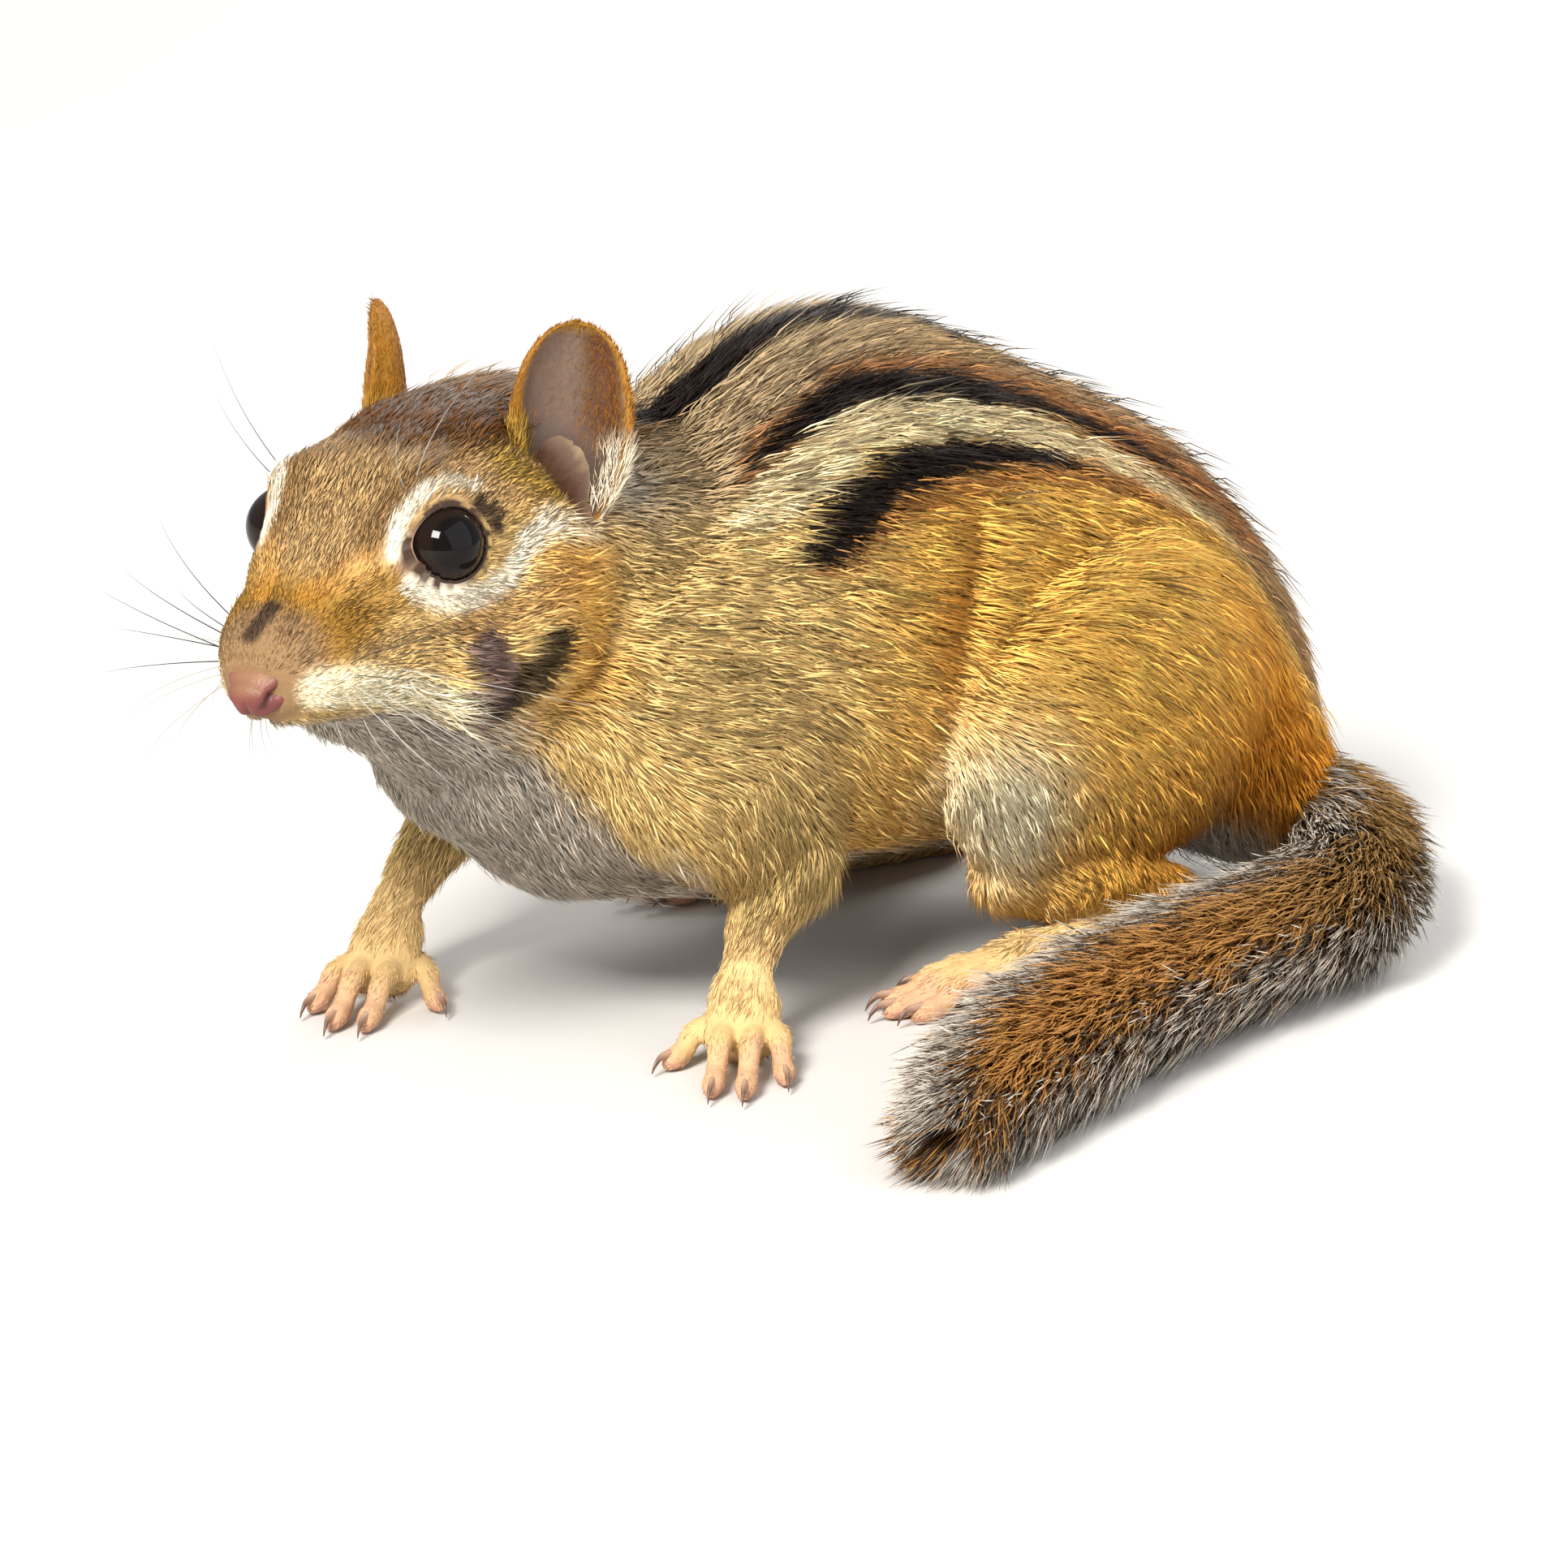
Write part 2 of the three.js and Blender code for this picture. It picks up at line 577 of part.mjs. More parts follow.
// One flat lock: it leaves the core, bends back along the tail and tapers to its tip.
function tailLock(t, angle, length, twist, spread = 1) {
  const rootShare = 0.5; // how deep in the core the lock starts
  const f = tailFrame(t);
  const out = f.side
    .clone()
    .multiplyScalar(Math.cos(angle))
    .addScaledVector(f.up, Math.sin(angle) * tailFlatness)
    .normalize();
  const flat = f.along.clone().cross(out).normalize().applyAxisAngle(out, twist);
  const rise = (f.reach - f.core * rootShare) * spread;
  const rings = [];
  const count = 3;
  const spot = (u) =>
    f.centre
      .clone()
      .addScaledVector(out, f.core * rootShare + rise * Math.sin((u * Math.PI) / 2))
      .addScaledVector(f.along, length * u);
  for (let k = 0; k <= count; k++) {
    const u = k / (count + 0.6);
    const centre = spot(u);
    const half = (lockWidth / 2) * (0.75 + 0.6 * u) * Math.sqrt(1 - u ** 2.5);
    const thick = (lockThickness / 2) * (1 - 0.5 * u);
    const lean = out.clone().multiplyScalar(1 - u * 0.5).addScaledVector(f.along, -0.5).normalize();
    rings.push([
      centre.clone().addScaledVector(flat, half),
      centre.clone().addScaledVector(lean, thick),
      centre.clone().addScaledVector(flat, -half),
      centre.clone().addScaledVector(lean, -thick),
    ]);
  }
  return skinOver(rings, f.centre.clone().addScaledVector(out, f.core * rootShare * 0.7), spot(1));
}

function tailLength(from, to, rows, isTip) {
  const perRow = 5;
  const pieces = [tailCore(from, to, 0)];
  for (let r = 0; r < rows; r++) {
    const t = from + ((to - from) * (r + 0.6)) / rows;
    const room = isTip ? 1 : Math.min(1, (0.2 + (rows - r) / rows) * 1.2);
    for (let k = 0; k < perRow; k++) {
      const angle = ((k + (r % 2) * 0.5) / perRow) * 2 * Math.PI;
      const length = (9 + 5 * t) * (0.9 + 0.16 * Math.sin(r * 2.4 + k * 1.7)) * room;
      pieces.push(tailLock(t, angle, length, 0.2 * Math.sin(r + k * 2.1)));
    }
  }
  const endLocks = isTip ? 3 : 0;
  const endLength = 12;
  for (let k = 0; k < endLocks; k++) {
    pieces.push(tailLock(0.99, ((k + 0.3) / endLocks) * 2 * Math.PI, endLength + (k % 2), 0, 0.35));
  }
  return wasm.Manifold.union(pieces);
}

// Assembly

const eyes = { left: withClearance((g) => eyeball(1, g)), right: withClearance((g) => eyeball(-1, g)) };
const lids = { left: withClearance((g) => lidRing(1, g)), right: withClearance((g) => lidRing(-1, g)) };
const ears = { left: earSolid(1, 0), right: earSolid(-1, 0) };

const parts = new Map();
const headCut = [eyes.left, eyes.right, lids.left, lids.right, nosePad];
const groove = wasm.Manifold.union([lipGroove(1), lipGroove(-1)]);
parts.set('head', carved(skull.body.subtract(groove), headCut));
parts.set('nose', carved(nosePad.body.subtract(wasm.Manifold.union([nostril(1), nostril(-1)]))));
for (const side of ['left', 'right']) {
  parts.set(`eye_${side}`, eyes[side].body);
  parts.set(`eyelids_${side}`, carved(lids[side].body, [eyes[side]]));
  parts.set(`ear_${side}`, carved(ears[side], [skull, nape]));
}

// Trunk and neck are one mass, parted by two flat cuts.
const chestEnd = 6;
const neckCut = { facing: [-0.6, 0, 0.8], at: 56 };
const trunkMass = trunk.body.add(nape.body);
const away = neckCut.facing.map((v) => -v);
parts.set('neck', carved(trunkMass.trimByPlane(neckCut.facing, neckCut.at + gap / 2), [skull]));
const behindNeck = trunkMass.trimByPlane(away, gap / 2 - neckCut.at).subtract(skull.clear);
parts.set('chest', carved(behindNeck.trimByPlane([-1, 0, 0], gap / 2 - chestEnd)));
parts.set('abdomen', carved(behindNeck.trimByPlane([1, 0, 0], chestEnd + gap / 2)));

const hindlimbs = { left: hindlimb(-1), right: hindlimb(1) };
for (const [side, spec] of Object.entries(forelimbs)) {
  const { upperArm, forearm, paw } = forelimb(spec);
  parts.set(`upper_arm_${side}`, carved(upperArm.body, [trunk, nape]));
  parts.set(`forearm_${side}`, carved(forearm.body, [trunk, upperArm]));
  parts.set(`forepaw_${side}`, carved(paw, [forearm]));
}
for (const [side, { thigh, shank, foot }] of Object.entries(hindlimbs)) {
  parts.set(`thigh_${side}`, carved(thigh.body, [trunk]));
  parts.set(`shank_${side}`, carved(shank.body, [trunk, thigh]));
  parts.set(`hind_foot_${side}`, carved(foot, [shank, thigh]));
}

const tailSplits = [0, 0.3, 0.66, 1];
const tailNames = ['tail_base', 'tail_middle', 'tail_tip'];
const lockRows = [3, 4, 4];
const tailPieces = tailNames.map((name, i) => {
  const body = tailLength(tailSplits[i], tailSplits[i + 1], lockRows[i], i === 2);
  return { name, body };
});
tailPieces.forEach(({ name, body }, i) => {
  const neighbours = [trunk, hindlimbs.left.thigh, hindlimbs.left.shank];
  if (i > 0) {
    const before = withClearance((g) => tailCore(tailSplits[i - 1], tailSplits[i], g));
    neighbours.push(before);
  }
  parts.set(name, carved(body, neighbours));
});

const looks = {
  head: ['#a9813f', 0.8],
  nose: ['#b5796a', 0.5],
  eye: ['#0c0806', 0.08],
  eyelids: ['#2b1f1a', 0.5],
  ear: ['#b07b4a', 0.8],
  neck: ['#a8844d', 0.85],
  chest: ['#a88a58', 0.85],
  abdomen: ['#b07a34', 0.85],
  upper: ['#b39155', 0.85],
  forearm: ['#b99a66', 0.85],
  forepaw: ['#c9a27c', 0.7],
  thigh: ['#bf7f2c', 0.85],
  shank: ['#c6a878', 0.85],
  hind: ['#c79a5e', 0.7],
  tail: ['#7d5a2c', 0.9],
};

const chipmunk = new THREE.Group();
for (const [name, solid] of parts) {
  const mesh = solid.getMesh();
  const geometry = new THREE.BufferGeometry();
  geometry.setAttribute('position', new THREE.Float32BufferAttribute(mesh.vertProperties, 3));
  geometry.setIndex(new THREE.BufferAttribute(mesh.triVerts, 1));
  geometry.computeVertexNormals();
  const [color, roughness] = looks[name.split('_')[0]];
  const made = new THREE.Mesh(geometry, new THREE.MeshStandardMaterial({ color, roughness, metalness: 0 }));
  made.name = name;
  chipmunk.add(made);
}

// The origin is the centre of the footprint, at ground level.
const box = new THREE.Box3().setFromObject(chipmunk);
chipmunk.position.set(-(box.min.x + box.max.x) / 2, -(box.min.y + box.max.y) / 2, 0);

export default chipmunk;
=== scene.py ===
import math

import bpy
import numpy as np
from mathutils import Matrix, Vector


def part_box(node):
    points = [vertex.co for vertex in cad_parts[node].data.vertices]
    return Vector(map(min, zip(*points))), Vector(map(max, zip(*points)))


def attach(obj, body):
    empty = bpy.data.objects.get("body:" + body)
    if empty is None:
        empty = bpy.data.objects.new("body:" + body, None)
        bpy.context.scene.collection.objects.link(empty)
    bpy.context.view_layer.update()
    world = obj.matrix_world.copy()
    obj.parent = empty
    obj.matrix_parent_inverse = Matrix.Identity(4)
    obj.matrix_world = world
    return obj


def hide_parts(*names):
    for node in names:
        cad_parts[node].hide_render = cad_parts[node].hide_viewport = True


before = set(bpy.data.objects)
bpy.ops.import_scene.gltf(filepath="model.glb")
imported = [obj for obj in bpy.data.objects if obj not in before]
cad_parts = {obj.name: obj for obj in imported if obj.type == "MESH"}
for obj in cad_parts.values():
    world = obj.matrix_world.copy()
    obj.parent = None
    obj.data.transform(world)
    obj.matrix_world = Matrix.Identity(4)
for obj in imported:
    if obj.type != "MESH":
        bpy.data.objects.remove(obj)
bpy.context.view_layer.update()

# The animal's own forms are worked out in millimetres. It faces -X, its left side is -Y, the floor is z = 0.
mm = 0.001
leftAndRight = {"left": 1, "right": -1}  # a head's left is +1 in its own axes

head = {
    "origin": (-50.7, -11.7, 52.1),  # midway between the eyes
    "pitch": 12,  # degrees, nose down
    "turn": 24,  # degrees, to its left
    "roll": 4,  # degrees, left eye up
    "eyeRadius": 4.0,
    "eyePlace": (0.6, 8.6, 0.4),  # ahead, to the side, up
    "eyeOut": (0.4, 0.86, 0.3),
    "eyeGap": 0.05,  # mm that the ball stays inside the lids
    "bulge": (0.12, 0.6),  # height in mm over the iris, and its reach in radians
    "irisRing": (0.62, 0.72, 0.95, 1.1),  # radians between which the iris starts and ends
    "eyeClear": 6.5,  # mm from the eye's centre within which no hair lies over the opening
}


def unit(vectors):
    vectors = np.asarray(vectors, float)
    return vectors / np.maximum(np.linalg.norm(vectors, axis=-1, keepdims=True), 1e-9)


# Rows ahead, left and up: a level heading pitched down, with left and up rolled about it.
def headAxesFrom(spec):
    turn, pitch, roll = (math.radians(spec[k]) for k in ("turn", "pitch", "roll"))
    ahead = np.array([-math.cos(turn) * math.cos(pitch), -math.sin(turn) * math.cos(pitch), -math.sin(pitch)])
    level = np.array([math.sin(turn), -math.cos(turn), 0.0])
    left = level * math.cos(roll) + np.cross(ahead, level) * math.sin(roll)
    return np.array([ahead, left, np.cross(ahead, left)])


headAxes = headAxesFrom(head)


def inHead(points):
    return np.array(head["origin"]) + np.asarray(points, float) @ headAxes


def toHead(points):
    return (points - np.array(head["origin"])) @ headAxes.T


eyeLow, eyeHigh = (np.array(c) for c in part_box("eye_left"))
shift = (eyeLow + eyeHigh) / 2 - inHead(head["eyePlace"]) * mm


def intoFrame(points):
    return points * mm + shift


# Camera, floor and light

studio = {
    "azimuth": -32,
    "elevation": 17,
    "distance": 1300.0,  # mm from the animal
    "frameWidth": 145.3,  # mm across the picture there
    "aim": (0.83, 16.6, 26.0),  # mm to the right, up and back from the ground under the body
    "sensorWidth": 36,
    "clipEnd": 20,
    "floorHalf": 4.0,  # metres
    "floorColour": (0.66, 0.65, 0.635),
    "floorRoughness": 0.7,
    "worldColour": (0.96, 0.97, 1.0),
    "worldStrength": 0.46,
    # right, up, back of the aim in mm, size in mm, watts, colour
    "key": ((-350, 480, 910), 340, 20.5, (1.0, 0.965, 0.91)),
    "fill": ((760, 320, 620), 1500, 7.0, (0.94, 0.96, 1.0)),
    "rim": ((420, 620, -620), 380, 6.0, (1.0, 0.97, 0.92)),
}


def viewAxes(azimuth, elevation):
    a, e = math.radians(azimuth), math.radians(elevation)
    right = np.array([math.cos(a), math.sin(a), 0])
    back = np.array([math.sin(a) * math.cos(e), -math.cos(a) * math.cos(e), math.sin(e)])
    return np.array([right, np.cross(back, right), back])


def linked(name, data):
    obj = bpy.data.objects.new(name, data)
    bpy.context.collection.objects.link(obj)
    return obj


def lookAlong(obj, place, direction):
    obj.location = place
    obj.rotation_euler = Vector(direction).to_track_quat("-Z", "Y").to_euler()


def buildStudio():
    axes = viewAxes(studio["azimuth"], studio["elevation"])
    aim = np.array(studio["aim"]) @ axes
    camera = bpy.data.cameras.new("camera")
    camera.sensor_width = studio["sensorWidth"]
    camera.lens = studio["sensorWidth"] * studio["distance"] / studio["frameWidth"]
    camera.clip_end = studio["clipEnd"]
    holder = linked("camera", camera)
    lookAlong(holder, intoFrame(aim + axes[2] * studio["distance"]), -axes[2])
    bpy.context.scene.camera = holder

    for name in ("key", "fill", "rim"):
        place, size, watts, colour = studio[name]
        lamp = bpy.data.lights.new(name, "AREA")
        lamp.size = size * mm
        lamp.energy = watts
        lamp.color = colour
        offset = np.array(place) @ axes
        lookAlong(linked(name, lamp), intoFrame(aim + offset), -offset)

    world = bpy.data.worlds.new("world")
    bpy.context.scene.world = world
    world.use_nodes = True
    background = world.node_tree.nodes["Background"]
    background.inputs["Color"].default_value = (*studio["worldColour"], 1)
    background.inputs["Strength"].default_value = studio["worldStrength"]
    bpy.context.scene.view_settings.view_transform = "Standard"

    half = studio["floorHalf"]
    corners = [(-half, -half, 0), (half, -half, 0), (half, half, 0), (-half, half, 0)]
    mesh = bpy.data.meshes.new("floor")
    mesh.from_pydata(corners, [], [(0, 1, 2, 3)])
    floor = linked("floor", mesh)
    finish = bpy.data.materials.new("floor")
    finish.use_nodes = True
    shader = finish.node_tree.nodes["Principled BSDF"]
    shader.inputs["Base Color"].default_value = (*studio["floorColour"], 1)
    shader.inputs["Roughness"].default_value = studio["floorRoughness"]
    mesh.materials.append(finish)


buildStudio()
print("studio ready")


# Curves, tubes and meshes

# Catmull-Rom curve, even in t: each span is the cubic through two stations with slopes from their neighbours.
def curve(stations, t):
    stations = np.asarray(stations, float)
    last = len(stations) - 1
    padded = np.vstack([2 * stations[0] - stations[1], stations, 2 * stations[-1] - stations[-2]])
    place = np.clip(t, 0, 1) * last
    i = np.minimum(place.astype(int), last - 1)
    w = (place - i)[:, None]
    a, b, c, d = (padded[i + k] for k in range(4))
    return 0.5 * (2 * b + (c - a) * w + (2 * a - 5 * b + 4 * c - d) * w**2 + (3 * b - a - 3 * c + d) * w**3)


# Triangles of a grid of closed rings, with a fan at each end to the two points that follow the grid.
def ringTriangles(rows, around, fans=True):
    r, i = np.meshgrid(np.arange(rows - 1), np.arange(around), indexing="ij")
    a = r * around + i
    b = r * around + (i + 1) % around
    walls = np.stack([a, b, b + around, a, b + around, a + around], -1).reshape(-1, 3)
    if not fans:
        return walls
    k = np.arange(around)
    n = (k + 1) % around
    first = np.stack([n, k, np.full(around, rows * around)], -1)
    end = (rows - 1) * around
    final = np.stack([end + k, end + n, np.full(around, rows * around + 1)], -1)
    return np.vstack([walls, first, final])


# An oval is carried along the curve through the stations (x, y, z, wide, up, down). Its point at angle a is
# centre + side * wide * cos(a) + up * height * sin(a); caps are the same oval shrunk by a cosine.
def tube(stations, grow=0.0, level=(0, 0, 1), squareness=2.0, around=28, rows=6, caps=(0.8, 0.8)):
    stations = np.array(stations, float)
    t = np.linspace(0, 1, (len(stations) - 1) * rows + 1)
    centre = curve(stations[:, :3], t)
    size = curve(stations[:, 3:6], t) + grow
    along = unit(np.gradient(centre, axis=0))
    capRows = 6
    turn = np.linspace(0, np.pi / 2, capRows + 1)[1:-1, None]

    def cap(end, outward, share):
        reach = min(size[end, 0], size[end, 1:].mean()) * share
        return centre[end] + outward * along[end] * reach * np.sin(turn), size[end] * np.cos(turn), reach

    firstCentre, firstSize, firstReach = cap(0, -1, caps[0])
    lastCentre, lastSize, lastReach = cap(-1, 1, caps[1])
    centres = np.vstack([firstCentre[::-1], centre, lastCentre])
    sizes = np.vstack([firstSize[::-1], size, lastSize])
    repeated = np.clip(np.arange(-len(turn), len(t) + len(turn)), 0, len(t) - 1)
    directions = along[repeated]
    side = unit(np.cross(directions, level))
    up = unit(np.cross(side, directions))
    angle = np.linspace(0, 2 * np.pi, around, endpoint=False)
    power = 2 / squareness
    c, s = np.cos(angle), np.sin(angle)
    across = np.sign(c) * np.abs(c) ** power * sizes[:, :1]
    high = np.sign(s) * np.abs(s) ** power * np.where(s > 0, sizes[:, 1:2], sizes[:, 2:3])
    grid = centres[:, None] + side[:, None] * across[..., None] + up[:, None] * high[..., None]
    tips = np.array([centre[0] - along[0] * firstReach, centre[-1] + along[-1] * lastReach])
    return np.vstack([grid.reshape(-1, 3), tips]), ringTriangles(len(centres), around)


# The volume between the triangles and the points' middle: negative where they face inwards.
def facingOut(points, triangles):
    middle = points.mean(0)
    a, b, c = (points[triangles[:, k]] - middle for k in range(3))
    return triangles if np.sum(a * np.cross(b, c)) > 0 else triangles[:, ::-1]


def joined(shells):
    offsets = np.cumsum([0] + [len(points) for points, _ in shells[:-1]])
    points = np.vstack([p for p, _ in shells])
    return points, np.vstack([facingOut(p, t) + o for (p, t), o in zip(shells, offsets)])


def meshOf(name, points, triangles):
    mesh = bpy.data.meshes.new(name)
    mesh.vertices.add(len(points))
    mesh.vertices.foreach_set("co", np.ascontiguousarray(points, np.float32).ravel())
    mesh.loops.add(triangles.size)
    mesh.loops.foreach_set("vertex_index", np.ascontiguousarray(triangles, np.int32).ravel())
    mesh.polygons.add(len(triangles))
    mesh.polygons.foreach_set("loop_start", np.arange(0, triangles.size, 3, dtype=np.int32))
    mesh.update(calc_edges=True)
    mesh.shade_smooth()
    return mesh


def colourLayer(mesh, colours):
    layer = mesh.color_attributes.new("markings", "FLOAT_COLOR", "POINT")
    full = np.ones((len(colours), 4), np.float32)
    full[:, :3] = np.clip(colours, 0, 1)
    layer.data.foreach_set("color", full.ravel())


# A finished piece rides on the body. Its mesh is in the frame already.
def finished(name, mesh, finish, slot, *replaced):
    mesh.materials.append(finish)
    obj = linked(name, mesh)
    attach(obj, "root")
    if replaced:
        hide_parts(*replaced)
    return obj


# A piece from points in millimetres, with a colour for each.
def piece(name, points, triangles, colours, finish, slot, *replaced):
    mesh = meshOf(name, intoFrame(points), facingOut(points, triangles))
    colourLayer(mesh, colours)
    return finished(name, mesh, finish, slot, *replaced)


# Smooth noise from -1 to 1: waves in fixed random directions, each of about the given length in millimetres.
def ripple(points, length, seed):
    draw = np.random.default_rng(seed)
    waves = unit(draw.normal(size=(7, 3))) * (2 * np.pi / length) * draw.uniform(0.6, 1.5, (7, 1))
    return np.sin(points @ waves.T + draw.uniform(0, 6.28, 7)).mean(1) * 1.8


def ramp(value, low, high):
    t = np.clip((value - low) / (high - low), 0, 1)
    return t * t * (3 - 2 * t)


# 1 at no distance, falling as exp(-(distance / reach) ** 2).
def bell(distance, reach):
    return np.exp(-((distance / reach) ** 2))


# Finishes

def finishFrom(name, roughness, specular, bump=0.0, bumpSize=0.4, **extra):
    made = bpy.data.materials.new(name)
    made.use_nodes = True
    nodes, links = made.node_tree.nodes, made.node_tree.links
    shader = nodes["Principled BSDF"]
    shader.inputs["Roughness"].default_value = roughness
    shader.inputs["Specular IOR Level"].default_value = specular
    for socket, value in extra.items():
        shader.inputs[socket.replace("_", " ")].default_value = value
    paint = nodes.new("ShaderNodeAttribute")
    paint.attribute_name = "markings"
    links.new(paint.outputs["Color"], shader.inputs["Base Color"])
    if bump:
        place = nodes.new("ShaderNodeTexCoord")
        grain = nodes.new("ShaderNodeTexNoise")
        grain.inputs["Scale"].default_value = 1 / (bumpSize * mm)
        grain.inputs["Detail"].default_value = 3
        relief = nodes.new("ShaderNodeBump")
        relief.inputs["Strength"].default_value = bump
        relief.inputs["Distance"].default_value = bumpSize * mm * 0.4
        links.new(place.outputs["Object"], grain.inputs["Vector"])
        links.new(grain.outputs["Fac"], relief.inputs["Height"])
        links.new(relief.outputs["Normal"], shader.inputs["Normal"])
    return made


finishes = {
    "underfur": finishFrom("underfur", 0.85, 0.2, bump=0.6, bumpSize=0.5),
    "fur": finishFrom("fur", 0.48, 0.16),
    "tailFur": finishFrom("tailFur", 0.5, 0.16),
    "eye": finishFrom("eye", 0.06, 0.2),
    "lid": finishFrom("lid", 0.45, 0.3, bump=0.4, bumpSize=0.25),
    "noseSkin": finishFrom("noseSkin", 0.48, 0.45, bump=0.7, bumpSize=0.28),
    "earSkin": finishFrom("earSkin", 0.6, 0.35, bump=0.35, bumpSize=0.4, Subsurface_Weight=0.15),
    "claw": finishFrom("claw", 0.32, 0.5, bump=0.15, bumpSize=0.3),
    "whisker": finishFrom("whisker", 0.4, 0.5),
}

# Body plan: the same stations as the solids, with the coat's depth taken off

trunk = {
    # x, y, z, wide, up, down
    "stations": [
        (-39, -5.5, 33.5, 13, 13, 14.5),
        (-28, -3.5, 33, 18, 21, 21.5),
        (-14, -1.5, 31, 20.5, 27, 22),
        (2, 0, 30, 22, 33.5, 20.5),
        (17, 0, 28, 22, 30.5, 19),
        (31, 0, 25.5, 19.5, 24.7, 18),
        (43, -0.5, 19.5, 17.5, 17.4, 15.5),
        (52.5, -3, 11.5, 14.3, 8.6, 10.5),
    ],
    "coatDepth": 1.7,
}
neck = {
    "behindHead": (-15, 0, -6),  # in the head's axes
    "headSize": (13, 12.5, 14.5),
    "stations": [(-31, -4, 47, 15, 12.5, 15), (-20, -2, 42.5, 15, 14.5, 15), (-8, -1, 38, 13, 14, 13)],
    "coatDepth": 1.5,
}
face = {
    # ahead of the eyes, height of the widest line, half sizes to the side, up and down
    "sections": [
        (20.0, -5.8, 3.4, 3.0, 2.9),
        (18.2, -5.8, 5.3, 4.6, 4.2),
        (15.0, -5.6, 7.2, 6.0, 5.6),
        (10.0, -5.2, 9.2, 7.7, 9.0),
        (4.5, -5.0, 11.3, 10.3, 12.8),
        (-2.0, -5.0, 13.0, 13.0, 15.4),
        (-9.0, -6.0, 14.4, 14.7, 16.2),
        (-16.0, -6.5, 14.6, 14.4, 16.2),
        (-23.0, -6.0, 12.5, 12.0, 14.0),
    ],
    "coatDepth": ((-23, 1.4), (-9, 1.1), (4, 0.6), (14, 0.35), (20, 0.15)),  # at each distance ahead
    # place, push outwards, reach
    "forms": [
        ((13.5, 5.8, -7.6), 0.9, 4.2),  # whisker pad
        ((-5.0, 12.5, -14.0), 1.8, 8.0),  # cheek
        ((0.8, 8.8, 5.2), 1.9, 4.4),  # brow
        ((9.5, 7.0, -0.5), -0.6, 3.6),  # hollow ahead of the eye
    ],
    "lip": [(19.4, 0, -9.1), (17.0, 2.9, -10.2), (13.5, 5.0, -11.4), (9.5, 6.7, -12.0), (6.5, 8.0, -11.9)],
    "lipDepth": 0.55,
    "lipReach": 0.42,
    "lipRoll": (0.22, 1.0, 0.5),  # height of the roll beside the groove, its distance from it and its reach
    "tipsAhead": (0.6, 1.2),  # mm that the shell's end points stand ahead of its first and last ring
    "squareness": 2.4,
}
throat = {
    # in the head's axes: place, then wide, up, down
    "underHead": [((3.5, 0, -9.5), 9, 10.5, 9), ((-2, 0, -13.5), 10.5, 10.5, 10.5)],
    "end": (-38, -6.5, 35, 12, 12, 12),
    "coatDepth": 1.3,
}

forelimbs = {
    "left": {
        "shoulder": (-21, -13, 35),
        "elbow": (-11, -18.5, 17),
        "wrist": (-16.5, -21.5, 8),
        "heading": (-0.6, -0.8),
        "innerTurn": -1,
    },
    "right": {
        "shoulder": (-24, 9.5, 35),
        "elbow": (-24, 14, 19),
        "wrist": (-34, 12.5, 8.5),
        "heading": (-0.75, -0.66),
        "innerTurn": 1,
    },
}
# root (ahead, inner, height) and tip (ahead, inner) of each toe
foreToes = [
    ((2.6, 2.9, 3.0), (7.8, 6.6)),
    ((5.8, 1.5, 3.4), (15.8, 1.9)),
    ((5.9, -1.2, 3.4), (16.2, -1.2)),
    ((4.6, -3.2, 3.0), (11.6, -4.6)),
]
hindToes = [
    ((21.5, 2.6, 2.8), (27.5, 5.2)),
    ((24.0, 1.9, 3.0), (32.5, 3.0)),
    ((24.5, 0.1, 3.1), (34.0, 0.6)),
    ((24.0, -1.8, 3.0), (32.6, -2.0)),
    ((20.0, -3.2, 2.8), (27.0, -6.0)),
]
paws = {"toeRadius": 1.4, "coatDepth": 0.2, "clawRadius": 0.42, "clawLength": 2.3}
limbs = {
    "coatDepth": 0.9,
    "thinCoat": 0.45,
    # wide, up and down at the start, the middle and the end
    "upperArm": [(8, 14, 14), (7, 12.5, 12.5), (4.8, 7, 7)],
    "forearm": [(4.7, 5.4, 5.4), (3.7, 3.9, 3.9), (2.7, 2.6, 2.6)],
    "wrist": (2.7, 2.5, 2.5),
    # ahead of the wrist, inner, height, then wide, up and down
    "palm": [(3, 0, 5.2, 3.5, 2.2, 2.2), (6, 0, 3.0, 3.7, 1.7, 3.3)],
}
hindlimb = {
    # x, distance to the side, z, then wide, up and down
    "thigh": [
        (37, 7, 25, 13.5, 15, 16),
        (28.5, 12.5, 25.5, 14.5, 18, 19),
        (19, 17, 24.5, 12, 16.5, 18),
        (11.5, 19.2, 21.5, 7.8, 12, 13.5),
    ],
    "shank": [(15, 17.5, 13, 4.6, 6, 6), (23, 19.5, 10, 4.6, 5.5, 5.5), (31, 20.5, 6, 3.4, 4, 4)],
    "heel": (33, 20.5),
    "outTurn": 0.05,
    # ahead of the heel, inner, height, then wide, up and down
    "sole": [
        (0, 0, 4.2, 2.9, 3.0, 4.6),
        (9, 0, 4.0, 2.9, 2.6, 4.4),
        (17, 0, 3.6, 3.5, 2.4, 4.0),
        (24.5, 0, 2.8, 4.0, 1.9, 3.2),
    ],
}

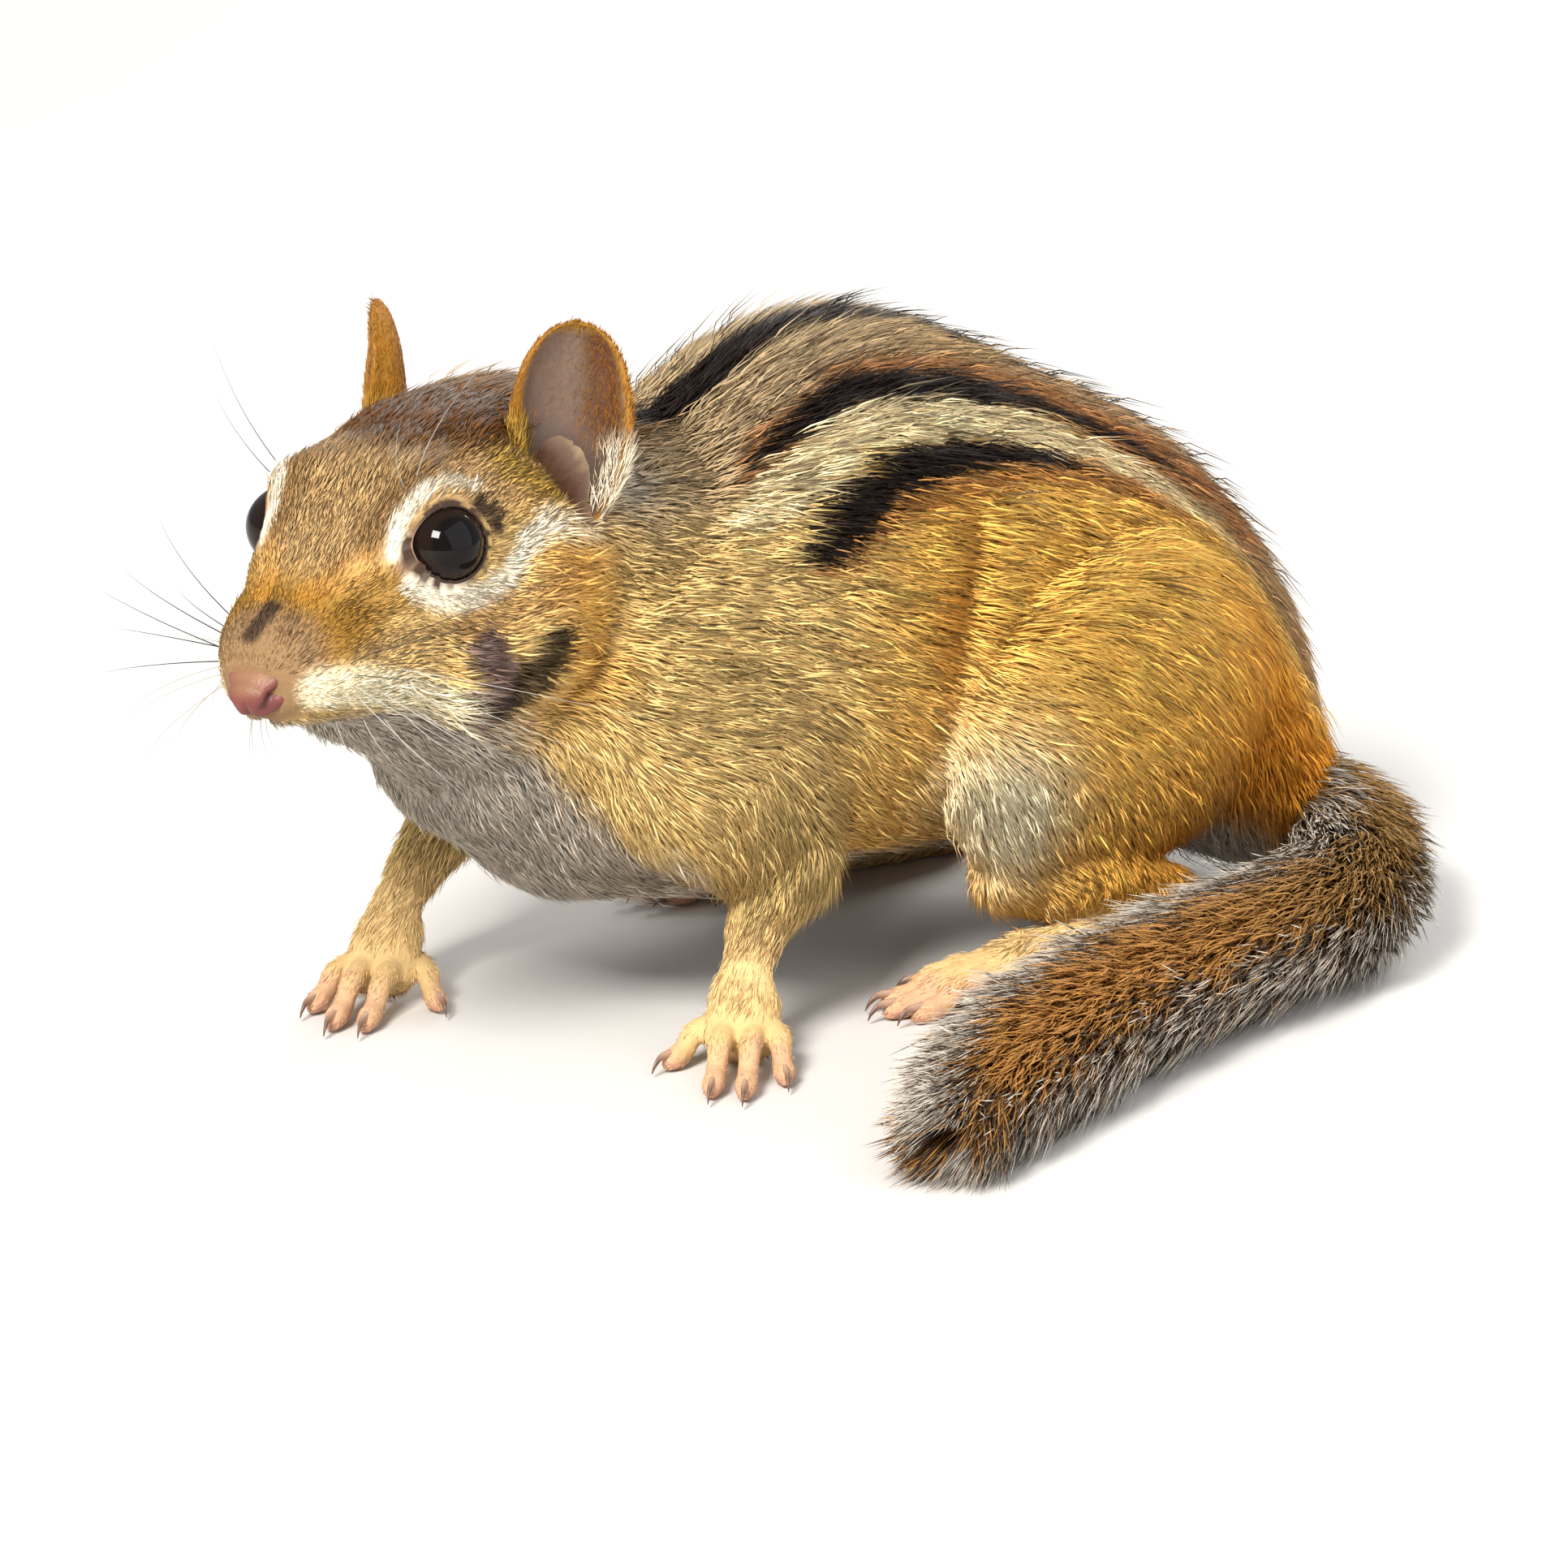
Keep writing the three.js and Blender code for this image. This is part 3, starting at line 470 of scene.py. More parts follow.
ears = {
    "length": 15.8,
    "halfWidth": 5.6,
    "thickness": 0.75,
    "tipThinning": 0.45,  # share of the thickness that is lost towards the tip
    "rimFold": (0.35, 0.86, 0.12),  # depth of the fold at each edge, its share of the half width, its reach
    "dish": 0.75,  # how far the section's circle stands forward, in its radii
    "base": (-16.5, 9.5, -2.0),
    "axis": (-0.3, 0.12, 0.95),
    "open": (0.66, 0.75, 0.0),
    "rootDepth": 3.5,
    "wrap": (78, 50),  # degrees that the cup reaches round to each side, at its foot and its tip
    # in the head's axes: the hollow's line down into the head, and the line round which no hair stands
    "hollow": [(-14.4, 10.8, 5.4), (-16.2, 10.9, 4.4), (-15.8, 12.4, 1.4), (-16.2, 13.8, -1.8)],
    "cup": [(-16.4, 10.8, -1.2), (-18.2, 10.2, 4.6)],
    "cupReach": 2.7,
    "hollowReach": 2.4,
    "hollowDepth": 4.2,
}

tail = {
    # x, y, z, radius of the skin, depth of the coat
    "stations": [
        (49.5, -2, 11, 5.0, 2.4),
        (53.5, -11.5, 8.4, 4.1, 3.8),
        (50.5, -21.8, 7.3, 3.4, 4.8),
        (43.5, -29.6, 6.9, 2.9, 5.6),
        (34, -34.5, 6.7, 2.6, 6.2),
        (23.5, -38.2, 6.4, 2.4, 6.6),
        (13, -42.5, 6.1, 2.1, 7.0),
        (3, -47.5, 5.8, 1.8, 7.2),
        (-6.5, -53, 5.3, 1.5, 6.6),
        (-15, -59, 4.6, 1.1, 4.6),
    ],
    "flatness": 0.66,
    "parts": ((0.0, 0.3), (0.3, 0.66), (0.66, 1.0)),
}


# The head: ovals along its own axis, pushed out by soft swellings exp(-(distance / reach) ** 2).
def headShell():
    sections = np.array(face["sections"])
    around, rows, napeRows, napeReach = 72, 10, 8, 5.0
    t = np.linspace(0, 1, (len(sections) - 1) * rows + 1)
    turn = np.concatenate([np.zeros(len(t)), np.linspace(0, np.pi / 2, napeRows + 1)[1:-1]])
    t = np.concatenate([t, np.ones(napeRows - 1)])
    values = curve(sections, t)
    ahead = values[:, 0] - napeReach * np.sin(turn)
    sizes = values[:, 2:5] * np.cos(turn)[:, None]
    angle = np.linspace(0, 2 * np.pi, around, endpoint=False)
    power = 2 / face["squareness"]
    c, s = np.cos(angle), np.sin(angle)
    y = np.sign(c) * np.abs(c) ** power * sizes[:, :1]
    lift = np.sign(s) * np.abs(s) ** power * np.where(s > 0, sizes[:, 1:2], sizes[:, 2:3])
    grid = np.stack([np.broadcast_to(ahead[:, None], y.shape), y, values[:, 1:2] + lift], -1)
    depth = np.array(face["coatDepth"])
    push = -np.interp(grid[..., 0], depth[:, 0], depth[:, 1])
    for place, amount, reach in face["forms"]:
        for side in (1, -1):
            distance = np.linalg.norm(grid - np.array(place) * (1, side, 1), axis=-1)
            push = push + amount * bell(distance, reach)
    grid = grid + unit(np.stack([np.zeros_like(y), y, lift], -1)) * push[..., None]
    first, last = sections[0], sections[-1]
    front, rear = face["tipsAhead"]
    tips = np.array([[first[0] + front, 0, first[1]], [last[0] - napeReach + rear, 0, last[1]]])
    return inHead(np.vstack([grid.reshape(-1, 3), tips])), ringTriangles(len(t), around)


def pawPlace(origin, heading, innerTurn):
    ahead = unit(heading)
    inner = np.array([-ahead[1], ahead[0]]) * innerTurn

    def place(a, i, z):
        spot = np.array(origin[:2]) + ahead * a + inner * i
        return (spot[0], spot[1], z)

    return place


# A toe arches from its root over the knuckle to its pad; its claw curves on from the tip.
def toeStations(place, root, tip):
    radius = paws["toeRadius"]
    root, tip = np.array(root, float), np.array(tip, float)
    flat = lambda t: root[:2] + (tip - root[:2]) * t
    reach = np.linalg.norm(tip - root[:2])
    toe = [
        (*place(*flat(0), root[2]), radius * 1.0, radius * 1.0, radius),
        (*place(*flat(0.42), root[2] * 0.55 + radius * 0.9), radius * 0.9, radius * 0.95, radius * 0.9),
        (*place(*flat(0.66), radius * 1.15), radius * 0.84, radius * 0.86, radius),
        (*place(*flat(0.86), radius * 0.85), radius * 0.92, radius * 0.95, radius),
        (*place(*flat(0.98), radius * 0.6), radius * 0.7, radius * 0.8, radius * 0.7),
    ]
    beyond = lambda d: flat(1 + d / reach)
    size = paws["clawRadius"]
    length = paws["clawLength"]
    claw = [
        (*place(*beyond(-0.7), radius * 1.25), size * 0.8, size * 1.0, size),
        (*place(*beyond(length * 0.4), radius * 1.25), size * 0.62, size * 0.85, size * 0.8),
        (*place(*beyond(length * 0.8), radius * 0.8), size * 0.36, size * 0.5, size * 0.45),
        (*place(*beyond(length), radius * 0.3), size * 0.1, size * 0.14, size * 0.12),
    ]
    return toe, claw


# Each limb as lists of stations: soft parts with their coat depth, the claws, and the bones the marks follow.
def limbForms():
    soft, claws, bones = [], [], []

    def addToes(place, toes):
        for root, tip in toes:
            toe, claw = toeStations(place, root, tip)
            soft.append((toe, paws["coatDepth"], dict(caps=(0.8, 0.9))))
            claws.append(claw)
            bones.append(("paw", np.array(toe[0][:3]), np.array(toe[-1][:3])))

    for limb in forelimbs.values():
        shoulder, elbow, wrist = (np.array(limb[k], float) for k in ("shoulder", "elbow", "wrist"))
        outward = np.array([0, np.sign(shoulder[1]), 0])
        places = (shoulder, (shoulder + elbow) / 2 + outward, elbow)
        upper = [(*spot, *size) for spot, size in zip(places, limbs["upperArm"])]
        soft.append((upper, limbs["coatDepth"], dict(level=(-1, 0, 0))))
        places = (elbow + (1, 0, 0), (elbow + wrist) / 2, wrist)
        fore = [(*spot, *size) for spot, size in zip(places, limbs["forearm"])]
        soft.append((fore, limbs["thinCoat"], {}))
        place = pawPlace(wrist, limb["heading"], limb["innerTurn"])
        palm = [(*wrist, *limbs["wrist"])] + [(*place(*s[:3]), *s[3:]) for s in limbs["palm"]]
        soft.append((palm, paws["coatDepth"], {}))
        bones.append(("upper", shoulder, elbow))
        bones.append(("forearm", elbow, wrist))
        addToes(place, foreToes)
    for side in (-1, 1):
        thigh = [(x, y * side, z, *size) for x, y, z, *size in hindlimb["thigh"]]
        shank = [(x, y * side, z, *size) for x, y, z, *size in hindlimb["shank"]]
        soft.append((thigh, trunk["coatDepth"], dict(caps=(0.5, 0.7), around=48)))
        soft.append((shank, limbs["thinCoat"], {}))
        x, y = hindlimb["heel"]
        place = pawPlace((x, y * side), (-1, hindlimb["outTurn"] * side), side)
        sole = [(*place(*s[:3]), *s[3:]) for s in hindlimb["sole"]]
        soft.append((sole, paws["coatDepth"], {}))
        bones.append(("paw", np.array(sole[0][:3]), np.array(sole[-1][:3])))
        addToes(place, hindToes)
    return soft, claws, bones


softForms, clawForms, limbBones = limbForms()


# Skin

skin = {
    "voxel": 0.32,  # mm
    "bodyRounds": 60,  # smoothing rounds where broad forms meet
    # the fold where the flank tucks in before the thigh, how deep it is and how far it reaches
    "fold": [(10, -16, 46), (6.8, -21, 37), (5.2, -24, 28), (5.6, -24, 19), (8, -22, 12)],
    "foldDepth": 1.5,
    "foldReach": 2.0,
    "lastRounds": (0.35, 4),  # share and rounds of the even smoothing after it
    "keptShares": (0.42, 0.62),  # of all triangles, then of those left, taken from the trunk and tail
    "floorGap": 0.03,
}


def arraysOf(mesh):
    points = np.empty(len(mesh.vertices) * 3, np.float32)
    mesh.vertices.foreach_get("co", points)
    mesh.calc_loop_triangles()
    triangles = np.empty(len(mesh.loop_triangles) * 3, np.int32)
    mesh.loop_triangles.foreach_get("vertices", triangles)
    return points.reshape(-1, 3).astype(float), triangles.reshape(-1, 3)


def modified(points, triangles, kind, weights=None, **settings):
    mesh = meshOf("working", points, triangles)
    obj = linked("working", mesh)
    if weights is not None:
        group = obj.vertex_groups.new(name="thin")
        group.add(np.where(weights > 0.5)[0].tolist(), 1.0, "REPLACE")
        settings["vertex_group"] = "thin"
    modifier = obj.modifiers.new(kind, kind)
    for key, value in settings.items():
        setattr(modifier, key, value)
    result = obj.evaluated_get(bpy.context.evaluated_depsgraph_get()).to_mesh()
    made = arraysOf(result)
    bpy.data.objects.remove(obj)
    return made


def edgesOf(triangles):
    pairs = np.vstack([triangles[:, [0, 1]], triangles[:, [1, 2]], triangles[:, [2, 0]]])
    pairs.sort(axis=1)
    return np.unique(pairs, axis=0)


# Each point moves by its share towards the mean of its neighbours, many times over.
def relaxed(points, edges, share, rounds):
    n = len(points)
    count = np.maximum(np.bincount(edges.ravel(), minlength=n), 1)[:, None]
    a, b = edges.T
    for _ in range(rounds):
        total = [np.bincount(a, points[b, k], n) + np.bincount(b, points[a, k], n) for k in range(3)]
        points = points + share[:, None] * (np.stack(total, 1) / count - points)
    return points


def normalsOf(points, triangles):
    a, b, c = (points[triangles[:, k]] for k in range(3))
    faces = np.cross(b - a, c - a)
    total = [sum(np.bincount(triangles[:, k], faces[:, j], len(points)) for k in range(3)) for j in range(3)]
    return unit(np.stack(total, 1))


# Distance from each point to a run of straight lines, and how far along it the nearest spot is.
def nearestOn(points, line):
    line = np.asarray(line, float)
    best = np.full(len(points), np.inf)
    share = np.zeros(len(points))
    for k in range(len(line) - 1):
        a, d = line[k], line[k + 1] - line[k]
        t = np.clip((points - a) @ d / (d @ d), 0, 1)
        distance = np.linalg.norm(points - a - t[:, None] * d, axis=1)
        nearer = distance < best
        best = np.where(nearer, distance, best)
        share = np.where(nearer, (k + t) / (len(line) - 1), share)
    return best, share


# The same point on the side where y has the given sign.
def mirrored(points, sign=1):
    return np.stack([points[:, 0], sign * np.abs(points[:, 1]), points[:, 2]], 1)


def eyeFrame(side):
    out = unit(np.array(head["eyeOut"]) * (1, side, 1))
    front = unit(np.array([1.0, 0, 0]) - out * out[0])
    return np.array(head["eyePlace"]) * (1, side, 1), out, front, np.cross(out, front) * side


lids = {
    "opening": 57,  # degrees from the eye's axis to the rim
    # turn about the axis in radians, sharpness, and degrees that the opening is drawn out there
    "corners": ((-0.45, 7, 9), (2.9, 6, 2.5)),
    "thickness": 0.42,
    "thinning": (0.35, 0.9),  # radians from the rim between which the lid thins away
    "rimRoll": (0.12, 0.12, 0.12),  # height in mm, then its distance from the rim and its reach in radians
    "rimThickness": (0.10, 0.04),  # mm below, and what is added above
    "rimSpread": 0.06,  # mm that the rim is wider than thick
    "socketDepth": 0.9,
    "socketReach": 2.2,  # in radii of the ball
}


# How wide the lids stand open at each turn about the eye's axis: drawn out in front and a little behind.
def lidAngle(turn):
    opening = lids["opening"]
    for where, power, wider in lids["corners"]:
        opening = opening + wider * np.maximum(0, np.cos(turn - where)) ** power
    return np.radians(opening)


# Distance from the eye's centre, angle from its axis, and turn about that axis from its front.
def aroundEye(points, side):
    centre, out, front, up = eyeFrame(side)
    offset = points - centre
    distance = np.linalg.norm(offset, axis=1)
    angle = np.arccos(np.clip(offset @ out / np.maximum(distance, 1e-6), -1, 1))
    return distance, angle, np.arctan2(offset @ up, offset @ front)


# The socket: inside the lids' rim the skin sinks behind the ball, outside it lies on the ball as a lid.
def socketed(points):
    local = toHead(points)
    radius = head["eyeRadius"]
    thinStart, thinEnd = lids["thinning"]
    rollHeight, rollPlace, rollReach = lids["rimRoll"]
    for side in (1, -1):
        centre = eyeFrame(side)[0]
        distance, angle, turn = aroundEye(local, side)
        rim = lidAngle(turn)
        near = distance < radius * lids["socketReach"]
        lid = radius + lids["thickness"] * (1 - ramp(angle, rim + thinStart, rim + thinEnd))
        lid = lid + rollHeight * bell(angle - rim - rollPlace, rollReach)
        inside = near & (angle < rim)
        covered = near & (angle >= rim) & (angle < rim + thinEnd) & (distance < lid)
        target = np.where(inside, radius - lids["socketDepth"], np.where(covered, lid, distance))
        local = centre + (local - centre) * (target / np.maximum(distance, 1e-6))[:, None]
    return inHead(local)


# The mouth: a groove along the lips' line, with a low roll above and below it.
def lipped(points, normals):
    distance, share = nearestOn(mirrored(toHead(points)), face["lip"])
    fade = 1 - ramp(share, 0.75, 1.0)
    rollHeight, rollPlace, rollReach = face["lipRoll"]
    groove = -face["lipDepth"] * bell(distance, face["lipReach"])
    push = fade * (groove + rollHeight * bell(distance - rollPlace, rollReach))
    return points + normals * push[:, None]


# The ears' openings run down into the head: 1 in the hollow, 0 away from it.
def earHollow(local):
    distance, _ = nearestOn(mirrored(local), ears["hollow"])
    return bell(distance, ears["hollowReach"])


# Where the skin keeps its small forms: on the face, and near the paws.
def fineness(points):
    local = toHead(points)
    nearPaw = np.full(len(points), np.inf)
    for kind, a, b in limbBones:
        if kind == "paw":
            for t in (0, 0.33, 0.66, 1):
                nearPaw = np.minimum(nearPaw, np.linalg.norm(points - a - (b - a) * t, axis=1))
    return ramp(local[:, 0], -19, -9) * ramp(local[:, 2], -26, -16), 1 - ramp(nearPaw, 3.2, 7)


def buildSkin():
    headBack = (*inHead(neck["behindHead"]), *neck["headSize"])
    hanging = [(*inHead(spot), *sizes) for spot, *sizes in throat["underHead"]] + [throat["end"]]
    shells = [
        tube(trunk["stations"], -trunk["coatDepth"], around=72, rows=8, caps=(0.5, 0.45)),
        tube([headBack, *neck["stations"]], -neck["coatDepth"], around=60, rows=8),
        tube(hanging, -throat["coatDepth"], level=(-1, 0, 0), around=48, rows=8),
        headShell(),
        tube([(*s[:3], s[3], s[3], s[3]) for s in tail["stations"]], around=20, rows=8, caps=(0.3, 1.2)),
    ]
    shells += [tube(stations, -depth, **options) for stations, depth, options in softForms]
    points, triangles = joined(shells)
    points, triangles = modified(points, triangles, "REMESH", mode="VOXEL", voxel_size=skin["voxel"])
    fineHead, finePaw = fineness(points)
    fineTail = ramp(-points[:, 1], 27, 31) * (points[:, 2] < 16)
    toFold, foldShare = nearestOn(mirrored(points, -1), skin["fold"])
    nearFold = 1 - ramp(toFold, 2.5, 7)
    fine = np.maximum(np.maximum(fineHead, finePaw), np.maximum(fineTail, 0.8 * nearFold))
    edges = edgesOf(triangles)
    points = relaxed(points, edges, 0.5 * (1 - fine), skin["bodyRounds"])
    share, rounds = skin["lastRounds"]
    points = relaxed(points, edges, np.full(len(points), share), rounds)
    alongFold = np.sin(np.pi * np.clip(0.12 + foldShare, 0, 1))
    depth = skin["foldDepth"] * alongFold * bell(toFold, skin["foldReach"])
    points = points - normalsOf(points, triangles) * depth[:, None]
    first, second = skin["keptShares"]
    points, triangles = modified(points, triangles, "DECIMATE", ratio=first)
    thin = 1 - np.maximum(*fineness(points))
    points, triangles = modified(points, triangles, "DECIMATE", weights=thin, ratio=second)
    points = lipped(points, normalsOf(points, triangles))
    hollow = earHollow(toHead(points))
    points = points - normalsOf(points, triangles) * (ears["hollowDepth"] * hollow)[:, None]
    points = socketed(points)
    points[:, 2] = np.maximum(points[:, 2], skin["floorGap"])
    return points, facingOut(points, triangles), hollow


skinPoints, skinTriangles, skinHollow = buildSkin()
print("skin", len(skinPoints), "points", len(skinTriangles), "triangles")


# Markings

tones = {
    "buff": (0.64, 0.45, 0.18),
    "ochre": (0.76, 0.44, 0.095),
    "orange": (0.66, 0.28, 0.030),
    # darker rufous laid in the crease before the thigh: painted shade
    "fold": (0.40, 0.17, 0.025),
    # white fur darkened to grey-beige: painted shade of the underside
    "shadedWhite": (0.44, 0.385, 0.315),
    "thighWhite": (0.92, 0.80, 0.56),
    "grey": (0.38, 0.275, 0.15),
    "brown": (0.33, 0.20, 0.09),
    "black": (0.014, 0.008, 0.006),
    "cream": (0.98, 0.77, 0.44),
    "rust": (0.34, 0.13, 0.035),
    "crown": (0.12, 0.044, 0.008),
    "forehead": (0.50, 0.32, 0.14),
    "snout": (0.33, 0.17, 0.028),
    "peach": (0.30, 0.18, 0.085),
    "cheek": (0.68, 0.46, 0.18),
    "tawny": (0.70, 0.40, 0.10),
    "olive": (0.44, 0.27, 0.05),
    "lidCream": (0.88, 0.78, 0.60),
    "lip": (0.98, 0.83, 0.56),
    "dark": (0.05, 0.028, 0.018),
    "bare": (0.20, 0.125, 0.105),
    "pawFur": (0.80, 0.55, 0.25),
    # buff darkened as painted shade on the arms
    "arm": (0.46, 0.325, 0.125),
    "toe": (0.74, 0.44, 0.26),
    "pinkSkin": (0.52, 0.28, 0.19),
    "nose": (0.16, 0.036, 0.028),
    "earOrange": (0.31, 0.125, 0.011),
    "earInside": (0.13, 0.078, 0.058),
    # near-black: painted shade deep in the ear's hollow; also laid on the bare inner rear of the ear
    "earDark": (0.055, 0.022, 0.010),
    "lipDark": (0.10, 0.05, 0.04),
    # darker red laid in the nostrils and the nose's cleft as painted shade
    "nostril": (0.10, 0.022, 0.018),
    "claw": (0.46, 0.29, 0.20),
    "clawTip": (0.12, 0.065, 0.045),
    "pupil": (0.003, 0.002, 0.002),
    "iris": (0.010, 0.005, 0.003),
}
tones = {name: np.array(value) for name, value in tones.items()}

# Each long stripe: its tone, then at each x the degrees from the back's midline and half its width in degrees
stripes = [
    (
        "black",
        [(-28, 0, 0), (-21, 0, 6.4), (-10, 0, 7.4), (2, 0, 6.2), (25, 0, 4.8), (46, 0, 4.2), (54, 0, 3)],
    ),
    ("rust", [(-12, 37, 0), (-9, 33, 5.6), (5, 27.5, 5.6), (20, 24.5, 5.8), (36, 21.5, 6), (48, 19, 5)]),
    (
        "black",
        [(-11, 36, 0), (-7, 33, 3.4), (-2, 30.3, 4.2), (6, 30, 4.0), (15, 28, 3.8), (25, 26, 2.7)]
        + [(34, 24, 1.8), (46, 21, 0)],
    ),
    (
        "rust",
        [(-8, 62, 0), (-4, 60, 5.0), (4, 53.5, 4.2), (11, 48.4, 4.4), (20, 43.6, 4.2), (30, 40, 3.6)]
        + [(42, 37, 0)],
    ),
    (
        "cream",
        [(-14, 48, 0), (-10, 45, 6.4), (-3, 41.4, 6.6), (4, 38.4, 4.9), (13, 35.8, 4.1), (22, 34.7, 3.8)]
        + [(36, 33.2, 2.8), (47, 32, 0)],
    ),
    (
        "black",
        [(-8, 60, 0), (-4.6, 57, 5.8), (0, 52.6, 5.6), (4, 48.6, 4.8), (11, 44.2, 3.7), (18, 41.8, 2.4)]
        + [(25, 40, 1.4), (33, 38.5, 0)],
    ),
]
stripeEdge = 1.1  # degrees over which a stripe's edge is soft
stripeStrength = {"rust": 0.75}
# Height of the white underside's edge at each x; the white below it is painted in shade
underLine = np.array(
    [(-52, 35), (-44, 32.5), (-33, 27), (-26.7, 20), (-17.8, 14.5), (0, 13), (20, 12), (32, 11)]
)

faceBands = {
    "lowerCheek": [(17.5, 5.4, -6.4), (14, 7.2, -7.6), (11, 8.6, -9.4), (6.5, 9.6, -12.5), (2.6, 9.6, -16)],
    "overEye": [(6.4, 7.7, 2.2), (4.2, 7.2, 4.4), (0.8, 8.2, 6.1), (-2.6, 9.8, 5.9), (-4.4, 10.8, 4.7)],
    "underEye": [(6.4, 9.7, -0.8), (4.6, 11.0, -3.0), (0.6, 12.6, -4.4), (-3.2, 13.4, -4.0)]
    + [(-6.4, 13.7, -1.8), (-10, 14, -1.4)],
    "barePatch": [(1.4, 12.6, -9.8), (0.2, 12.2, -13), (0.6, 10, -16.2)],
}
# Strokes: tone, strength, half width and soft edge in mm, then the line. They are laid in this order.
strokes = {
    "nape": [("crown", 0.8, 3.4, 5.5, [(-40, -6, 64.5), (-30, -3.6, 60), (-19, -2, 58)])],
    "crown": [("crown", 0.5, 0.9, 2.4, [(6, 5.6, 4.0), (0, 7.2, 8.4), (-9, 9.5, 9)])],
    "snout": [("snout", 0.8, 1.2, 2.0, [(16, 4.5, -2.5), (8.5, 7.6, -0.8), (5.5, 8.6, -1.4)])],
    "face": [
        ("orange", 0.35, 0.6, 1.8, [(13, 2.4, 0.6), (8.4, 5.6, 2.0)]),
        ("brown", 0.55, 0.3, 1.4, [(13.5, 7.8, -4.4), (7, 10.6, -5.6), (1, 12.8, -6.4)]),
        ("lip", 1, 1.3, 1.6, faceBands["lowerCheek"]),
        ("lidCream", 1, 0.5, 0.7, faceBands["overEye"]),
        ("lidCream", 1, 0.8, 1.1, faceBands["underEye"]),
        # the eye's corners
        ("bare", 0.8, 0.3, 0.8, [(6.6, 8.6, 1.0), (5.4, 8.6, 1.4)]),
        ("dark", 0.95, 0.75, 0.9, [(-3.0, 11.6, 3.2), (-4.4, 12.4, 1.8), (-3.8, 12.8, 0.6)]),
        ("brown", 0.5, 0.8, 2.0, [(-6, 12.8, 3.2), (-11, 13.4, 2.4)]),
        ("rust", 0.35, 0.8, 2.0, [(2, 11.8, -6.8), (-4, 13.8, -7.4), (-10, 15, -7.4)]),
        # at the ear's foot
        ("olive", 0.85, 1.1, 2.2, [(-9.4, 11.2, 5.0), (-10.6, 12.4, 3.2), (-12.6, 13.4, 0.4)]),
        ("lidCream", 0.6, 0.9, 1.8, [(-9.4, 13.8, -1.4), (-13, 14.2, -3.4), (-16.5, 14.4, -4.6)]),
    ],
    # on one side only: a dark mark on the snout, and the patch of fur that the left cheek has lost
    "oneSided": [
        ("dark", 0.9, 0.6, 1.0, [(15.4, -0.3, 0.2), (16.8, -0.7, -0.5), (18.0, -0.9, -1.2)]),
        ("bare", 1, 1.9, 0.8, faceBands["barePatch"]),
        ("black", 0.9, 1.6, 1.2, [(-1.0, 11.2, -16.6), (-3.2, 13.0, -15.0), (-6.4, 14.6, -12.8)]),
    ],
}


# x and the angle from the back's midline, in degrees, of each point round the trunk.
def trunkPlace(points):
    stations = np.array(trunk["stations"])
    x, y, z = points.T
    middleY, middleZ, wide, up, down = (np.interp(x, stations[:, 0], stations[:, k]) for k in range(1, 6))
    high = z - middleZ
    return x, np.degrees(np.arctan2(np.abs(y - middleY) / wide, high / np.where(high > 0, up, down)))


def plain(tone, count):
    return np.tile(tones[tone], (count, 1))


def mixed(colour, tone, mask):
    return colour + (tones[tone] - colour) * np.clip(mask, 0, 1)[:, None]


# Each stroke mixes in its tone, whole up to half its width from the line and gone at the soft edge's end.
def stroked(colour, points, name):
    for tone, strength, half, soft, line in strokes[name]:
        colour = mixed(colour, tone, strength * nearLine(points, line, half, soft))
    return colour

def spot(points, place, reach):
    scaled = (points - np.array(place)) / np.array(reach)
    return np.exp(-np.sum(scaled**2, axis=1))


def nearLine(points, line, half, soft):
    distance, _ = nearestOn(points, line)
    return 1 - ramp(distance, half, half + soft)


def bodyMarkings(points):
    x, degrees = trunkPlace(points)
    wander = ripple(points, 9, 3) * 1.6
    side = mirrored(points, -1)
    colour = plain("buff", len(points))
    colour = mixed(colour, "ochre", ramp(x, -10, 8) * ramp(degrees, 20, 44))
    colour = mixed(colour, "orange", ramp(x + 0.55 * (30 - points[:, 2]), 26, 50) * ramp(degrees, 28, 60))
    colour = mixed(colour, "tawny", 0.8 * spot(side, (-36, -20, 40), (7, 8, 8)))
    shoulders = (1 - ramp(x, -6, 2)) * (1 - ramp(degrees + wander, 34, 56)) * ramp(x, -60, -20)
    colour = mixed(colour, "grey", shoulders)
    back = 1 - ramp(degrees + wander, 27, 37)
    colour = mixed(colour, "grey", back * (1 - ramp(x, 6, 30)))
    colour = mixed(colour, "brown", back * ramp(x, 2, 30))
    colour = stroked(colour, points, "nape")
    for tone, table in stripes:
        table = np.array(table)
        centre = np.interp(x, table[:, 0], table[:, 1])
        half = np.interp(x, table[:, 0], table[:, 2], left=0, right=0)
        away = np.abs(degrees - centre) + wander * 0.25
        mask = (1 - ramp(away, half - stripeEdge, half + stripeEdge)) * ramp(half, 0.1, 1.2)
        colour = mixed(colour, tone, mask * stripeStrength.get(tone, 1.0))
    # the crease before the thigh is painted darker as shade
    colour = mixed(colour, "fold", 0.75 * nearLine(side, skin["fold"], 0.6, 2.4) * ramp(points[:, 2], 14, 22))
    colour = mixed(colour, "thighWhite", 1.3 * spot(side, (10.5, -24, 17.5), (5.5, 9, 8.5)))
    # the underside's white, painted in shade, except on the thigh
    under = 1 - ramp(points[:, 2] - np.interp(x, *underLine.T) + wander * 0.8, -2, 2)
    onThigh = ramp(np.abs(points[:, 1]), 12, 16) * ramp(x, -3, 3)
    return mixed(colour, "shadedWhite", under * (1 - onThigh))


